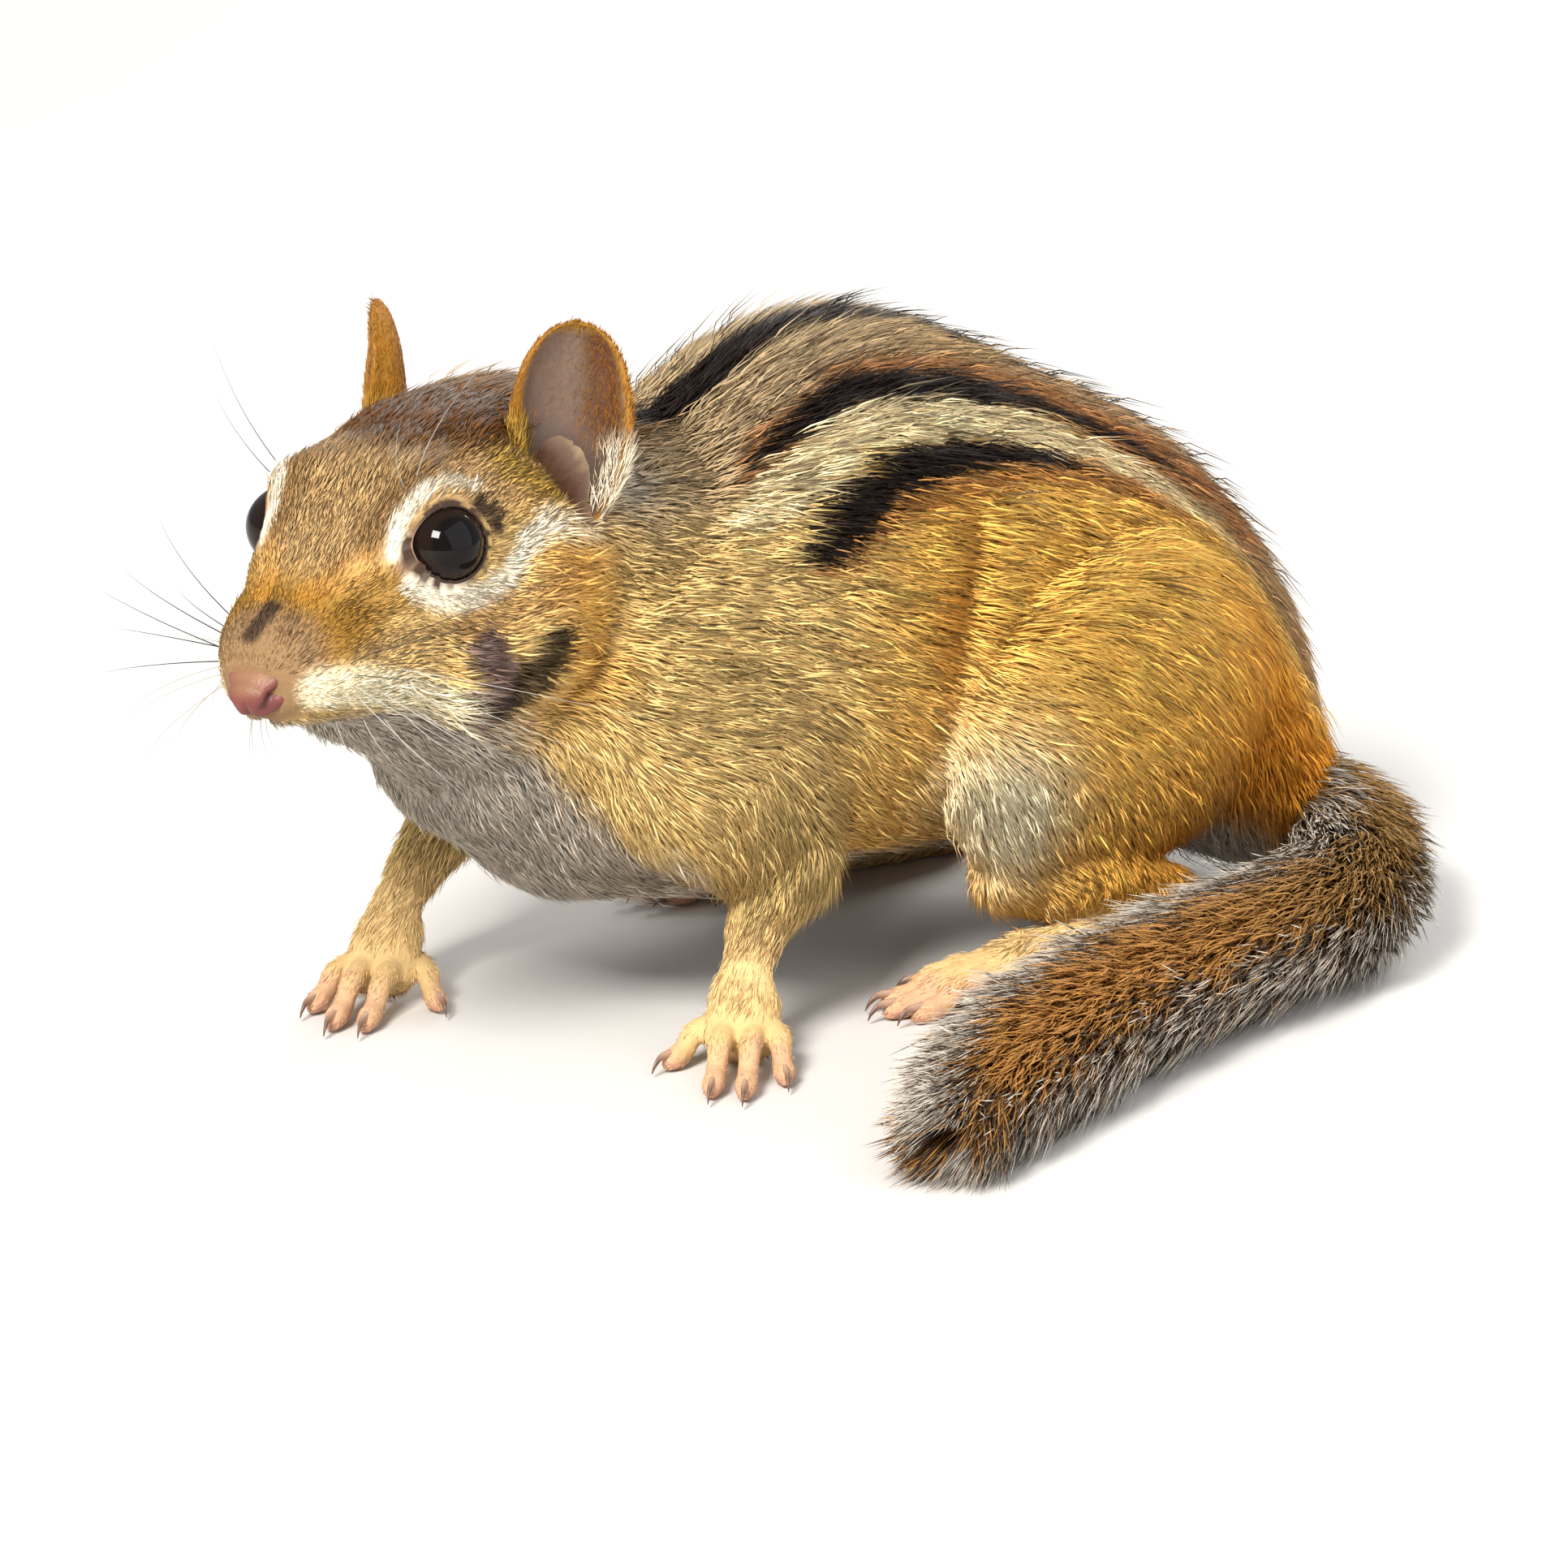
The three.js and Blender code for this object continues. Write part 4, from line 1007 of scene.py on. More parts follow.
def faceMarkings(local):
    at = mirrored(local)
    x, y, z = at.T
    wander = ripple(local, 6, 5)
    colour = plain("cheek", len(at))
    colour = mixed(colour, "tawny", ramp(-x, 4, 11) * (1 - ramp(z, 0, 4)))
    colour = mixed(colour, "forehead", ramp(z + wander * 0.5, 0.0, 3.0))
    colour = mixed(colour, "crown", ramp(z - 0.35 * x, 7.2, 10.5) * ramp(-x, -3, 6))
    colour = stroked(colour, at, "crown")
    colour = mixed(colour, "snout", ramp(x, 8, 14) * ramp(z, -6, -3))
    colour = stroked(colour, at, "snout")
    colour = mixed(colour, "peach", ramp(x + 0.4 * z, 13.6, 16.4))
    # white under the jaw, painted in shade
    colour = mixed(colour, "shadedWhite", ramp(-z + 0.18 * x, 12.2, 14.6) * ramp(x, -3.5, 2))
    return stroked(stroked(colour, at, "face"), local, "oneSided")


# The colour of the coat at each point, from the trunk's, the head's and the limbs' marks; the white of the
# throat and underside and the arms' tone carry painted shade.
def markings(points):
    local = toHead(points)
    colour = bodyMarkings(points)
    headShare = ramp(local[:, 0] + 0.15 * local[:, 2], -21, -13) * ramp(local[:, 2], -23, -19)
    faceColour = faceMarkings(local)
    colour = colour + (faceColour - colour) * headShare[:, None]
    throatShare = ramp(local[:, 0], -9, -1) * (1 - ramp(local[:, 2], -21, -17)) * (points[:, 0] < -34)
    # the throat's white, painted in shade; the spot behind the ear takes the same shaded white
    colour = mixed(colour, "shadedWhite", throatShare)
    colour = mixed(colour, "shadedWhite", 1.1 * spot(mirrored(local), (-23.5, 10.5, -3.0), (3.8, 4.0, 4.6)))
    for kind, a, b in limbBones:
        distance, share = nearestOn(points, [a, b])
        if kind == "upper":
            # the upper arm's lower half takes the arm tone: buff with painted shade
            colour = mixed(colour, "arm", (1 - ramp(distance, 6, 10)) * ramp(share, 0.5, 0.9))
            continue
        reach = 6.5 if kind == "forearm" else 4.2
        amount = 1 - ramp(distance, reach * 0.75, reach * 1.25)
        low = ramp(-points[:, 2], -15, -8)
        # the forearm takes the same buff with painted shade
        colour = mixed(colour, "arm", amount * (kind == "forearm"))
        colour = mixed(colour, "pawFur", amount * low)
        if kind == "paw":
            colour = mixed(colour, "toe", amount * low * ramp(share, 0.3, 0.7) * (np.linalg.norm(b - a) < 14))
    return colour



def skinColours(points):
    colour = markings(points) * 0.8
    local = toHead(points)
    distance, share = nearestOn(mirrored(local), face["lip"])
    colour = mixed(colour, "lipDark", bell(distance, 0.5) * (1 - ramp(share, 0.8, 1)))
    for side in (1, -1):
        away, angle, turn = aroundEye(local, side)
        rim = (away < head["eyeClear"]) * (1 - ramp(angle - lidAngle(turn), 0.02, 0.08))
        colour = mixed(colour, "dark", rim)
    colour = mixed(colour, "earInside", ramp(skinHollow, 0.04, 0.2))
    # deeper in the ear's hollow the skin is painted near-black as shade
    colour = mixed(colour, "earDark", ramp(skinHollow, 0.2, 0.55))
    sole = (points[:, 2] < 1.1).astype(float)
    return mixed(colour, "pinkSkin", sole)


def buildSkinPiece():
    nodes = ["head", "neck", "chest", "abdomen", "tail_base", "tail_middle", "tail_tip"]
    for side in ("left", "right"):
        parts = ("upper_arm", "forearm", "forepaw", "thigh", "shank", "hind_foot")
        nodes += [f"{part}_{side}" for part in parts]
    colours = skinColours(skinPoints)
    made = piece("skin", skinPoints, skinTriangles, colours, finishes["underfur"], "back_fur", *nodes)
    bpy.context.view_layer.objects.active = made
    made.select_set(True)
    made.data.uv_layers.new(name="OFBake")
    bpy.ops.object.mode_set(mode="EDIT")
    bpy.ops.mesh.select_all(action="SELECT")
    bpy.ops.uv.smart_project(angle_limit=math.radians(75), island_margin=0.002)
    bpy.ops.object.mode_set(mode="OBJECT")
    made.select_set(False)
    places = np.empty(len(made.data.loops) * 2, np.float32)
    made.data.uv_layers["OFBake"].data.foreach_get("uv", places)
    corners = np.empty(len(made.data.loops), np.int32)
    made.data.loops.foreach_get("vertex_index", corners)
    return corners.reshape(-1, 3), places.reshape(-1, 3, 2).astype(float)


skinTriangles, skinPlaces = buildSkinPiece()
print("skin piece unwrapped")


# Ears
# A cupped leaf: at height u its section is an arc of the given wrap, between an outer and an inner radius,
# and its half width follows an ellipse towards the tip.
def earShell(side):
    base = np.array(ears["base"]) * (1, side, 1)
    axis = unit(np.array(ears["axis"]) * (1, side, 1))
    opening = np.array(ears["open"]) * (1, side, 1)
    opening = unit(opening - axis * (opening @ axis))
    across = unit(np.cross(axis, opening))
    rows, columns, edge = 44, 30, 5
    u = np.linspace(0, 1, rows)[:, None]
    tip = np.sqrt(np.maximum(0, 1 - (np.maximum(0, u - 0.5) / 0.5) ** 2.2))
    widening = 0.5 + 0.5 * np.sin(np.minimum(1, u / 0.5) * np.pi / 2)
    half = ears["halfWidth"] * widening * np.maximum(tip, 0.06)
    wrap = np.radians(ears["wrap"][0] + (ears["wrap"][1] - ears["wrap"][0]) * np.minimum(1, u * 1.3))
    radius = half / np.sin(np.minimum(wrap, np.pi / 2))
    sweep = np.linspace(-1, 1, columns)[None]
    roundOff = np.linspace(-np.pi / 2, np.pi / 2, edge + 2)[1:-1][None]
    thick = ears["thickness"] / 2 * (1 - ears["tipThinning"] * u)
    share = np.concatenate([sweep, 1 + 0 * roundOff, -sweep, -1 + 0 * roundOff], 1)
    extra = np.concatenate([0 * sweep, np.cos(roundOff), 0 * sweep, -np.cos(roundOff)], 1)
    offset = np.concatenate([1 + 0 * sweep, -np.sin(roundOff), -1 + 0 * sweep, np.sin(roundOff)], 1)
    angle = share * wrap + extra * thick / radius
    foldDepth, foldPlace, foldReach = ears["rimFold"]
    fold = foldDepth * bell(share + foldPlace, foldReach) + foldDepth * bell(share - foldPlace, foldReach)
    ring = radius + offset * thick - fold * np.sin(np.pi * np.clip(u * 1.1, 0, 1))
    height = (ears["length"] + ears["rootDepth"]) * u - ears["rootDepth"]
    grid = (
        base
        + axis * np.broadcast_to(height, ring.shape)[..., None]
        + across * (ring * np.sin(angle))[..., None]
        + opening * (radius * ears["dish"] - ring * np.cos(angle))[..., None]
    )
    tips = np.array([grid[0].mean(0), grid[-1].mean(0)])
    points = inHead(np.vstack([grid.reshape(-1, 3), tips]))
    inside = np.concatenate([(np.broadcast_to(offset, ring.shape) < 0).ravel(), [True, True]])
    height = np.concatenate([np.broadcast_to(u, ring.shape).ravel(), [0, 1]])
    around = np.concatenate([np.broadcast_to(share, ring.shape).ravel(), [0, 0]])
    triangles = facingOut(points, ringTriangles(rows, ring.shape[1]))
    return points, triangles, inside, height, around * side


def earColours(inside, height, around):
    colour = plain("earOrange", len(height))
    rear = ramp(around, 0.0, 0.5)
    furEdge = 0.88 - 0.3 * (1 - ramp(height, 0.35, 0.7)) * (around < 0)
    bare = inside * (1 - ramp(np.abs(around), furEdge, furEdge + 0.1)) * (1 - ramp(height, 0.92, 0.98))
    colour = mixed(colour, "earInside", bare)
    colour = mixed(colour, "earDark", bare * rear * ramp(height, 0.3, 0.5))
    # the inside of the ear's foot, where the canal opens, is painted dark as shade
    foot = (1 - ramp(height, 0.28, 0.5)) * (1 - 0.7 * ramp(np.abs(around), 0.5, 0.9))
    colour = mixed(colour, "dark", inside * foot)
    return mixed(colour, "lidCream", 0.8 * ~inside * ramp(around, 0.45, 0.8) * (1 - ramp(height, 0.3, 0.45)))


earMeshes = {}
for name, side in leftAndRight.items():
    points, triangles, inside, height, around = earShell(side)
    colours = earColours(inside, height, around)
    earMeshes[name] = (points, triangles, inside, height, around, colours)
    piece(f"ear_{name}_skin", points, triangles, colours, finishes["earSkin"], "ear_fur", f"ear_{name}")
print("ears ready")


# Eyes and lids

# A ball with a low bulge over the iris, a bell round its axis.
def eyeShell(side):
    centre, out, front, up = eyeFrame(side)
    rows, around = 40, 72
    angle = np.linspace(0, np.pi, rows + 2)[1:-1, None]
    turn = np.linspace(0, 2 * np.pi, around, endpoint=False)[None]
    bulge, bulgeReach = head["bulge"]
    radius = head["eyeRadius"] - head["eyeGap"] + bulge * bell(angle, bulgeReach)
    grid = (
        centre
        + out * (radius * np.cos(angle) + 0 * turn)[..., None]
        + front * (radius * np.sin(angle) * np.cos(turn))[..., None]
        + up * (radius * np.sin(angle) * np.sin(turn))[..., None]
    )
    tips = np.array([centre + out * radius[0, 0], centre - out * radius[-1, 0]])
    points = inHead(np.vstack([grid.reshape(-1, 3), tips]))
    spread = np.concatenate([np.broadcast_to(angle, (rows, around)).ravel(), [0, np.pi]])
    inner, innerEnd, outer, outerEnd = head["irisRing"]
    ring = ramp(spread, inner, innerEnd) * (1 - ramp(spread, outer, outerEnd))
    colours = mixed(plain("pupil", len(points)), "iris", ring)
    return points, ringTriangles(rows, around), colours


# The lids' rim: a rounded profile carried round the opening, thickest above, drawn out at the front corner.
def lidShell(side):
    centre, out, front, up = eyeFrame(side)
    steps, around = 96, 14
    turn = np.linspace(0, 2 * np.pi, steps, endpoint=False)[:, None]
    angle = lidAngle(turn) + 0.02
    rim = front * np.cos(turn) + up * np.sin(turn)
    outward = out * np.cos(angle) + rim * np.sin(angle)
    across = rim * np.cos(angle) - out * np.sin(angle)
    thin, added = lids["rimThickness"]
    thick = thin + added * np.maximum(0, np.sin(turn))
    middle = centre + outward * (head["eyeRadius"] + thick * 0.75)
    around_ = np.linspace(0, 2 * np.pi, around, endpoint=False)[None, :, None]
    grid = (
        middle[:, None]
        + outward[:, None] * (thick[:, None] * np.sin(around_))
        + across[:, None] * ((thick[:, None] + lids["rimSpread"]) * np.cos(around_))
    )
    points = inHead(grid.reshape(-1, 3))
    triangles = ringTriangles(steps + 1, around, fans=False) % (steps * around)
    corner = np.broadcast_to(np.maximum(0, np.cos(turn + 0.45)) ** 10, (steps, around)).ravel()
    colours = mixed(plain("dark", len(points)) * 0.6, "pinkSkin", corner * 0.5)
    return points, triangles, colours


for name, side in leftAndRight.items():
    points, triangles, colours = eyeShell(side)
    piece(f"eyeball_{name}", points, triangles, colours, finishes["eye"], "eye", f"eye_{name}")
    points, triangles, colours = lidShell(side)
    piece(f"lids_{name}", points, triangles, colours, finishes["lid"], "eyelid_skin", f"eyelids_{name}")
print("eyes ready")


# Nose pad

nose = {
    # ahead, side, up, then half sizes
    "stations": [
        (17.0, 0, -6.0, 3.2, 2.5, 2.1),
        (19.3, 0, -6.0, 3.35, 2.4, 2.4),
        (20.8, 0, -6.3, 2.3, 1.75, 1.8),
    ],
    "nostril": [(18.4, 3.4, -5.3), (19.9, 2.9, -5.5), (20.9, 2.3, -6.0), (21.3, 1.7, -6.9)],
    "nostrilDepth": 0.75,
    # no hair grows ahead of this, within this distance to the side and between these heights
    "bareAhead": 17.4,
    "bareAside": 3.5,
    "bareHeights": (-8.8, -4.1),
    "cleftDepth": 0.35,
}


# A short blunt tube with a comma-shaped nostril pressed into each side and a cleft down its middle.
def buildNose():
    stations = [(*inHead(s[:3]), *s[3:]) for s in nose["stations"]]
    points, triangles = tube(stations, level=headAxes[2], squareness=2.3, around=96, rows=26, caps=(0.8, 0.8))
    triangles = facingOut(points, triangles)
    normals = normalsOf(points, triangles)
    local = toHead(points)
    distance, share = nearestOn(mirrored(local), nose["nostril"])
    width = 0.32 + 0.22 * share
    hole = bell(distance, width)
    roll = bell(distance - 1.0, 0.4)
    cleft = bell(local[:, 1], 0.28) * ramp(-local[:, 2], 5.6, 7.0) * ramp(local[:, 0], 19, 20.3)
    push = -nose["nostrilDepth"] * hole + 0.12 * roll - nose["cleftDepth"] * cleft
    colour = plain("nose", len(points)) * (1 + 0.18 * ripple(local, 2.2, 11))[:, None]
    colour = mixed(colour, "peach", 0.6 * ramp(local[:, 2] - 0.5 * (20.5 - local[:, 0]), -5.3, -3.9))
    # the nostrils and the cleft are painted darker as shade
    colour = mixed(colour, "nostril", hole * 1.1 + 0.5 * cleft)
    points = points + normals * push[:, None]
    piece("nosePad", points, triangles, colour, finishes["noseSkin"], "nose_skin", "nose")


buildNose()


# Claws: dark horn towards the tips
def buildClaws():
    shells = []
    shades = []
    for stations in clawForms:
        points, triangles = tube(stations, around=10, rows=6, caps=(0.5, 0.9))
        shells.append((points, triangles))
        start, end = np.array(stations[0][:3]), np.array(stations[-1][:3])
        shades.append(np.clip((points - start) @ (end - start) / np.sum((end - start) ** 2), 0, 1))
    points, triangles = joined(shells)
    points[:, 2] = np.maximum(points[:, 2], skin["floorGap"])
    colours = mixed(plain("claw", len(points)), "clawTip", ramp(np.concatenate(shades), 0.25, 0.75))
    piece("claws", points, triangles, colours, finishes["claw"], "paw_skin")


buildClaws()

# Whiskers

whiskers = {
    "rows": 4,
    "perRow": 3,
    "root": (14.5, 6.4, -6.4),
    "spread": (2.3, 0.5, 1.35),
    "length": (13, 22),
    "radius": 0.07,
    "pale": 0.42,  # tones of the pale and the dark ones
    "dark": 0.015,
    "rowStep": (1.6, -1.4),  # shares of the spread from a row's first to its last, back and to the side
    "drop": (1.9, -0.7),  # shares of the spread from the first row down to the last, and down to the first
    "bend": (-0.28, 0, -0.16),
    # root, aim, length and bend of the finer hairs of the brow and the lower lip, in the head's axes
    "brow": [((3.0, 7.6, 7.2), (0.5, 0.2, 0.9), 10, -0.3), ((1.4, 8.0, 7.6), (0.1, 0.5, 0.9), 12, -0.35)],
    "lip": [
        ((13.5, 6.2, -11.4), (0.1, 0.35, -0.9), 7, -0.35),
        ((11.5, 7.0, -12.2), (-0.1, 0.4, -0.9), 9, -0.35),
        ((9.5, 7.8, -12.8), (-0.2, 0.5, -0.8), 11, -0.4),
        ((7.5, 8.2, -13.4), (-0.35, 0.5, -0.8), 9, -0.4),
        ((15.5, 4.6, -10.6), (0.25, 0.3, -0.9), 6, -0.3),
    ],
}


# Each whisker is a thin tapering tube along a bending line: root + length * (u * direction + bend * u ** 2).
def buildWhiskers():
    draw = np.random.default_rng(21)
    shells, shades = [], []
    drop, firstDrop = whiskers["drop"]
    stepBack, stepAside = whiskers["rowStep"]
    bendAhead, bendAside, bendUp = whiskers["bend"]

    def grow(root, aim, length, bend, radius, tone):
        u = np.linspace(0, 1, 9)[:, None]
        line = inHead(np.array(root) + length * (u * unit(aim) + np.array(bend) * u**2))
        thick = radius * (1 - 0.85 * u)
        shells.append(tube(np.hstack([line, thick, thick, thick]), around=6, rows=2))
        shades.append(np.full(len(shells[-1][0]), tone))

    for side in (1, -1):
        flip = np.array([1, side, 1])
        for row in range(whiskers["rows"]):
            low = row / (whiskers["rows"] - 1)
            for k in range(whiskers["perRow"]):
                back = k / (whiskers["perRow"] - 1)
                step = (back * stepBack, back * stepAside, low * drop + firstDrop)
                root = np.array(whiskers["root"]) - np.array(whiskers["spread"]) * step
                shortest, longest = whiskers["length"]
                length = shortest + (longest - shortest) * (0.35 + 0.65 * back) * draw.uniform(0.85, 1.05)
                aim = np.array([0.35 - 0.75 * back, 0.95 + 0.1 * back, 0.42 - 0.95 * low])
                aim = aim + draw.normal(0, 0.07, 3)
                tone = whiskers["pale"] if low > 0.6 else whiskers["dark"]
                thin = 0.7 if side == 1 else 1
                bend = (bendAhead, bendAside, bendUp - 0.1 * low)
                grow(root * flip, aim * flip, length, bend, whiskers["radius"] * thin, tone)
        for root, aim, length, fall in whiskers["brow"]:
            # the brow whiskers are pale on the head's left and dark on its right: painted light and shade on
            # whiskers of one kind
            tone = whiskers["dark"] if side < 0 else whiskers["pale"]
            grow(np.array(root) * flip, np.array(aim) * flip, length, (fall, 0.1 * side, -0.05), 0.045, tone)
        for root, aim, length, back in whiskers["lip"]:
            grow(np.array(root) * flip, np.array(aim) * flip, length, (back, 0, 0), 0.05, whiskers["pale"])
    points, triangles = joined(shells)
    colours = np.concatenate(shades)[:, None] * np.array([1, 0.95, 0.85])
    piece("whiskers", points, triangles, colours, finishes["whisker"], "head_fur")


buildWhiskers()
print("face details ready")

# Coat

# Where each stretch of fur is combed: place, lie, reach, then length, rise and width of its hair in mm.
# The head's combs are in its own axes. Both tables are mirrored to the other side.
headCombs = [
    ((19, 0, -3.2), (-1, 0, 0.35), 3, 0.8, 0.16, 0.13),
    ((15, 2.5, -0.6), (-1, 0, 0.25), 4, 1.2, 0.22, 0.14),
    ((16, 5.5, -4.5), (-1, 0.25, 0.05), 4, 1.2, 0.2, 0.14),
    ((14.5, 6.4, -8.4), (-1, 0.2, -0.25), 4, 1.7, 0.3, 0.14),
    ((9.5, 7.8, -10.5), (-1, 0.2, -0.35), 4, 3.0, 0.5, 0.18),
    ((14, 1.5, -11.8), (-1, 0.1, -0.3), 4, 1.6, 0.3, 0.14),
    ((10.5, 6.5, -2.5), (-1, 0.35, -0.05), 4, 1.8, 0.3, 0.15),
    ((7.5, 2.5, 4.4), (-1, 0.0, 0.5), 5, 2.0, 0.38, 0.17),
    ((6.8, 7.0, 1.6), (-0.5, 0.3, 0.8), 2.2, 1.1, 0.2, 0.13),
    ((3.4, 7.6, 5.4), (-0.8, 0.2, 0.55), 3, 1.6, 0.3, 0.14),
    ((-2.6, 9.6, 5.8), (-1, 0.15, 0.25), 3, 1.9, 0.32, 0.15),
    ((-5.2, 12.8, 0.6), (-1, 0.1, -0.05), 3, 2.0, 0.32, 0.17),
    ((5.6, 9.2, -2.6), (-0.6, 0.3, -0.7), 2.4, 1.2, 0.22, 0.13),
    ((0.8, 12.0, -5.0), (-0.85, 0.15, -0.5), 3, 1.9, 0.34, 0.15),
    ((-2, 2.5, 7.8), (-1, 0, 0.15), 6, 2.6, 0.5, 0.18),
    ((-12, 2.5, 8), (-1, 0, -0.15), 6, 3.2, 0.75, 0.21),
    ((-11.8, 10.2, 5.2), (-0.35, -0.1, 0.95), 2.4, 2.6, 0.5, 0.19),
    ((-11.4, 12.2, 1.0), (-0.8, 0.1, 0.5), 2.4, 1.8, 0.4, 0.18),
    ((-15.5, 13.6, -5), (-1, 0.2, 0.1), 3, 3.4, 1.0, 0.20),
    ((5.2, 9.4, -13.8), (-0.8, 0.35, -0.55), 3, 5.2, 1.4, 0.20),
    ((-10, 12.5, 2), (-1, 0.1, -0.1), 4, 2.4, 0.45, 0.18),
    ((-4, 13.6, -9.5), (-1, 0.1, -0.3), 5, 3.8, 0.7, 0.21),
    ((-11, 14.8, -9), (-1, 0, -0.3), 6, 4.4, 0.9, 0.24),
    ((4.5, 9.8, -12.0), (-0.95, 0.25, -0.45), 4, 4.2, 0.95, 0.21),
    ((-2, 11, -17.5), (-0.85, 0.15, -0.55), 5, 4.6, 1.0, 0.24),
    ((6, 3, -17), (-0.9, 0, -0.5), 5, 2.8, 0.5, 0.18),
    ((-19, 11, -2), (-1, 0, -0.35), 5, 3.6, 0.9, 0.24),
]
bodyCombs = {
    "neck": [
        ((-30, -3, 59.5), (1, 0, 0.1), 8, 4.6, 1.2, 0.17),
        ((-31, -17, 50), (1, -0.15, -0.35), 7, 4.8, 1.1, 0.17),
        ((-34, -20, 40), (0.95, -0.1, -0.45), 7, 5.0, 1.1, 0.17),
    ],
    "chest": [
        ((-20, -5, 57), (1, 0, 0.35), 8, 5.2, 1.4, 0.19),
        ((-4, -4, 62), (1, 0, 0.05), 8, 5.6, 1.4, 0.20),
        ((-17, -18, 46), (1, -0.1, -0.25), 8, 5.4, 1.2, 0.19),
        ((-20, -22, 34), (1, 0, -0.35), 8, 5.4, 1.2, 0.19),
        ((-5, -21, 40), (1, 0, -0.4), 8, 5.6, 1.2, 0.20),
        ((-6, -20, 25), (0.85, 0, -0.6), 8, 5.4, 1.2, 0.19),
        ((-33, -17, 27), (0.6, 0, -0.8), 7, 4.6, 1.0, 0.18),
        ((-44, -7, 32), (0.35, 0, -1), 7, 2.4, 0.4, 0.15),
        ((-36, -6, 20), (0.6, 0, -0.7), 7, 2.8, 0.5, 0.16),
        ((-26, -6, 13), (0.9, 0, -0.3), 7, 3.2, 0.6, 0.17),
        ((-14, -6, 10), (1, 0, -0.1), 9, 4.8, 1.0, 0.18),
    ],
    "back": [
        ((10, -4, 61), (1, 0, -0.15), 9, 5.8, 1.3, 0.20),
        ((26, -4, 53), (0.9, 0, -0.45), 9, 5.8, 1.3, 0.20),
        ((40, -4, 42), (0.7, 0, -0.75), 9, 5.8, 1.4, 0.20),
        ((51, -3, 26), (0.3, 0, -1), 8, 5.8, 1.4, 0.20),
        ((8, -19, 45), (0.95, 0, -0.35), 8, 5.6, 1.2, 0.20),
        ((22, -17, 44), (0.85, 0, -0.5), 8, 5.6, 1.2, 0.20),
        ((36, -15, 38), (0.65, 0, -0.75), 8, 5.6, 1.2, 0.20),
        ((15, -5, 9), (1, 0, 0), 10, 4.8, 1.0, 0.18),
    ],
    "haunch": [
        ((10, -24, 32), (0.9, 0, -0.5), 7, 5.4, 1.2, 0.20),
        ((22, -28, 30), (0.75, 0, -0.65), 7, 5.4, 1.2, 0.20),
        ((34, -24, 26), (0.55, 0, -0.85), 7, 5.4, 1.2, 0.20),
        ((44, -16, 20), (0.35, 0, -1), 7, 5.4, 1.2, 0.20),
        ((12, -24, 19), (0.45, 0, -0.9), 6, 4.8, 1.1, 0.18),
        ((24, -27, 17), (0.5, 0, -0.85), 6, 5.0, 1.1, 0.19),
    ],
}
packing = {  # tufts to the square millimetre
    "head": 12.5,
    "neck": 9.0,
    "chest": 8.0,
    "back": 8.2,
    "haunch": 9.0,
    "arm": 10.0,
    "paw": 10.0,
    "shank": 10.0,
}
oddSlots = {"paw": "paw_skin"}  # all others are named after their piece


def limbCombs():
    rows = []
    for limb in forelimbs.values():
        shoulder, elbow, wrist = (np.array(limb[k], float) for k in ("shoulder", "elbow", "wrist"))
        out = np.array([0, np.sign(shoulder[1]), 0])
        rows.append(("arm", shoulder + (elbow - shoulder) * 0.55 + out * 8, (0.35, 0, -1), 6, 5.0, 1.1, 0.19))
        rows.append(("arm", elbow + out * 4, wrist - elbow + (1, 0, -4), 5, 3.8, 0.7, 0.17))
        rows.append(("arm", (elbow + wrist) / 2, wrist - elbow, 5, 2.6, 0.45, 0.14))
        rows.append(("paw", wrist, wrist - elbow, 3.5, 1.7, 0.3, 0.12))
    for side in (-1, 1):
        rows.append(("shank", np.array([17, 19 * side, 11.5]), (0.6, 0, -0.6), 5, 3.2, 0.6, 0.17))
        rows.append(("shank", np.array([28, 20.5 * side, 8]), (0.2, 0, -0.8), 5, 2.6, 0.5, 0.15))
        rows.append(("paw", np.array([22, 20.3 * side, 5.5]), (-1, 0, -0.1), 5, 1.8, 0.3, 0.12))
    for kind, a, b in limbBones:
        if kind == "paw":
            for t, length in ((0.15, 1.5), (0.6, 1.1), (1.0, 0.8)):
                rows.append(("paw", a + (b - a) * t, b - a, 2.6, length, 0.16, 0.10))
    return rows


# All combs as arrays, mirrored, with the piece each belongs to.
def combTable():
    rows = []
    for place, lie, *rest in headCombs:
        for side in (1, -1):
            mirror = np.array([1, side, 1])
            turned = (np.array(lie) * mirror) @ headAxes
            rows.append(("head", inHead(np.array(place) * mirror), turned, *rest))
    for name, combs in bodyCombs.items():
        for place, lie, *rest in combs:
            for side in (1, -1):
                mirror = np.array([1, side, 1])
                rows.append((name, np.array(place) * mirror, np.array(lie) * mirror, *rest))
    rows += limbCombs()
    names = sorted({row[0] for row in rows})
    owner = np.array([names.index(row[0]) for row in rows])
    places = np.array([row[1] for row in rows], float)
    lies = unit(np.array([row[2] for row in rows], float))
    values = np.array([row[3:] for row in rows], float)
    return names, owner, places, lies, values[:, 0], values[:, 1:]


combNames, combOwner, combPlaces, combLies, combReach, combValues = combTable()


# At each point the combs are weighed by 1 / (d ** 2 / reach ** 2 + 0.05) ** 3. The mean gives the hair's lie
# and sizes, and the piece with the largest share owns the point.
def combed(points):
    lies, values, owners = [], [], []
    for start in range(0, len(points), 20000):
        part = points[start : start + 20000]
        squared = np.sum((part[:, None] - combPlaces) ** 2, axis=2) / combReach**2
        weight = (squared + 0.05) ** -3.0
        weight /= weight.sum(1, keepdims=True)
        lies.append(weight @ combLies)
        values.append(weight @ combValues)
        shares = np.stack([weight[:, combOwner == k].sum(1) for k in range(len(combNames))], 1)
        owners.append(shares.argmax(1))
    return unit(np.vstack(lies)), np.vstack(values), np.concatenate(owners)


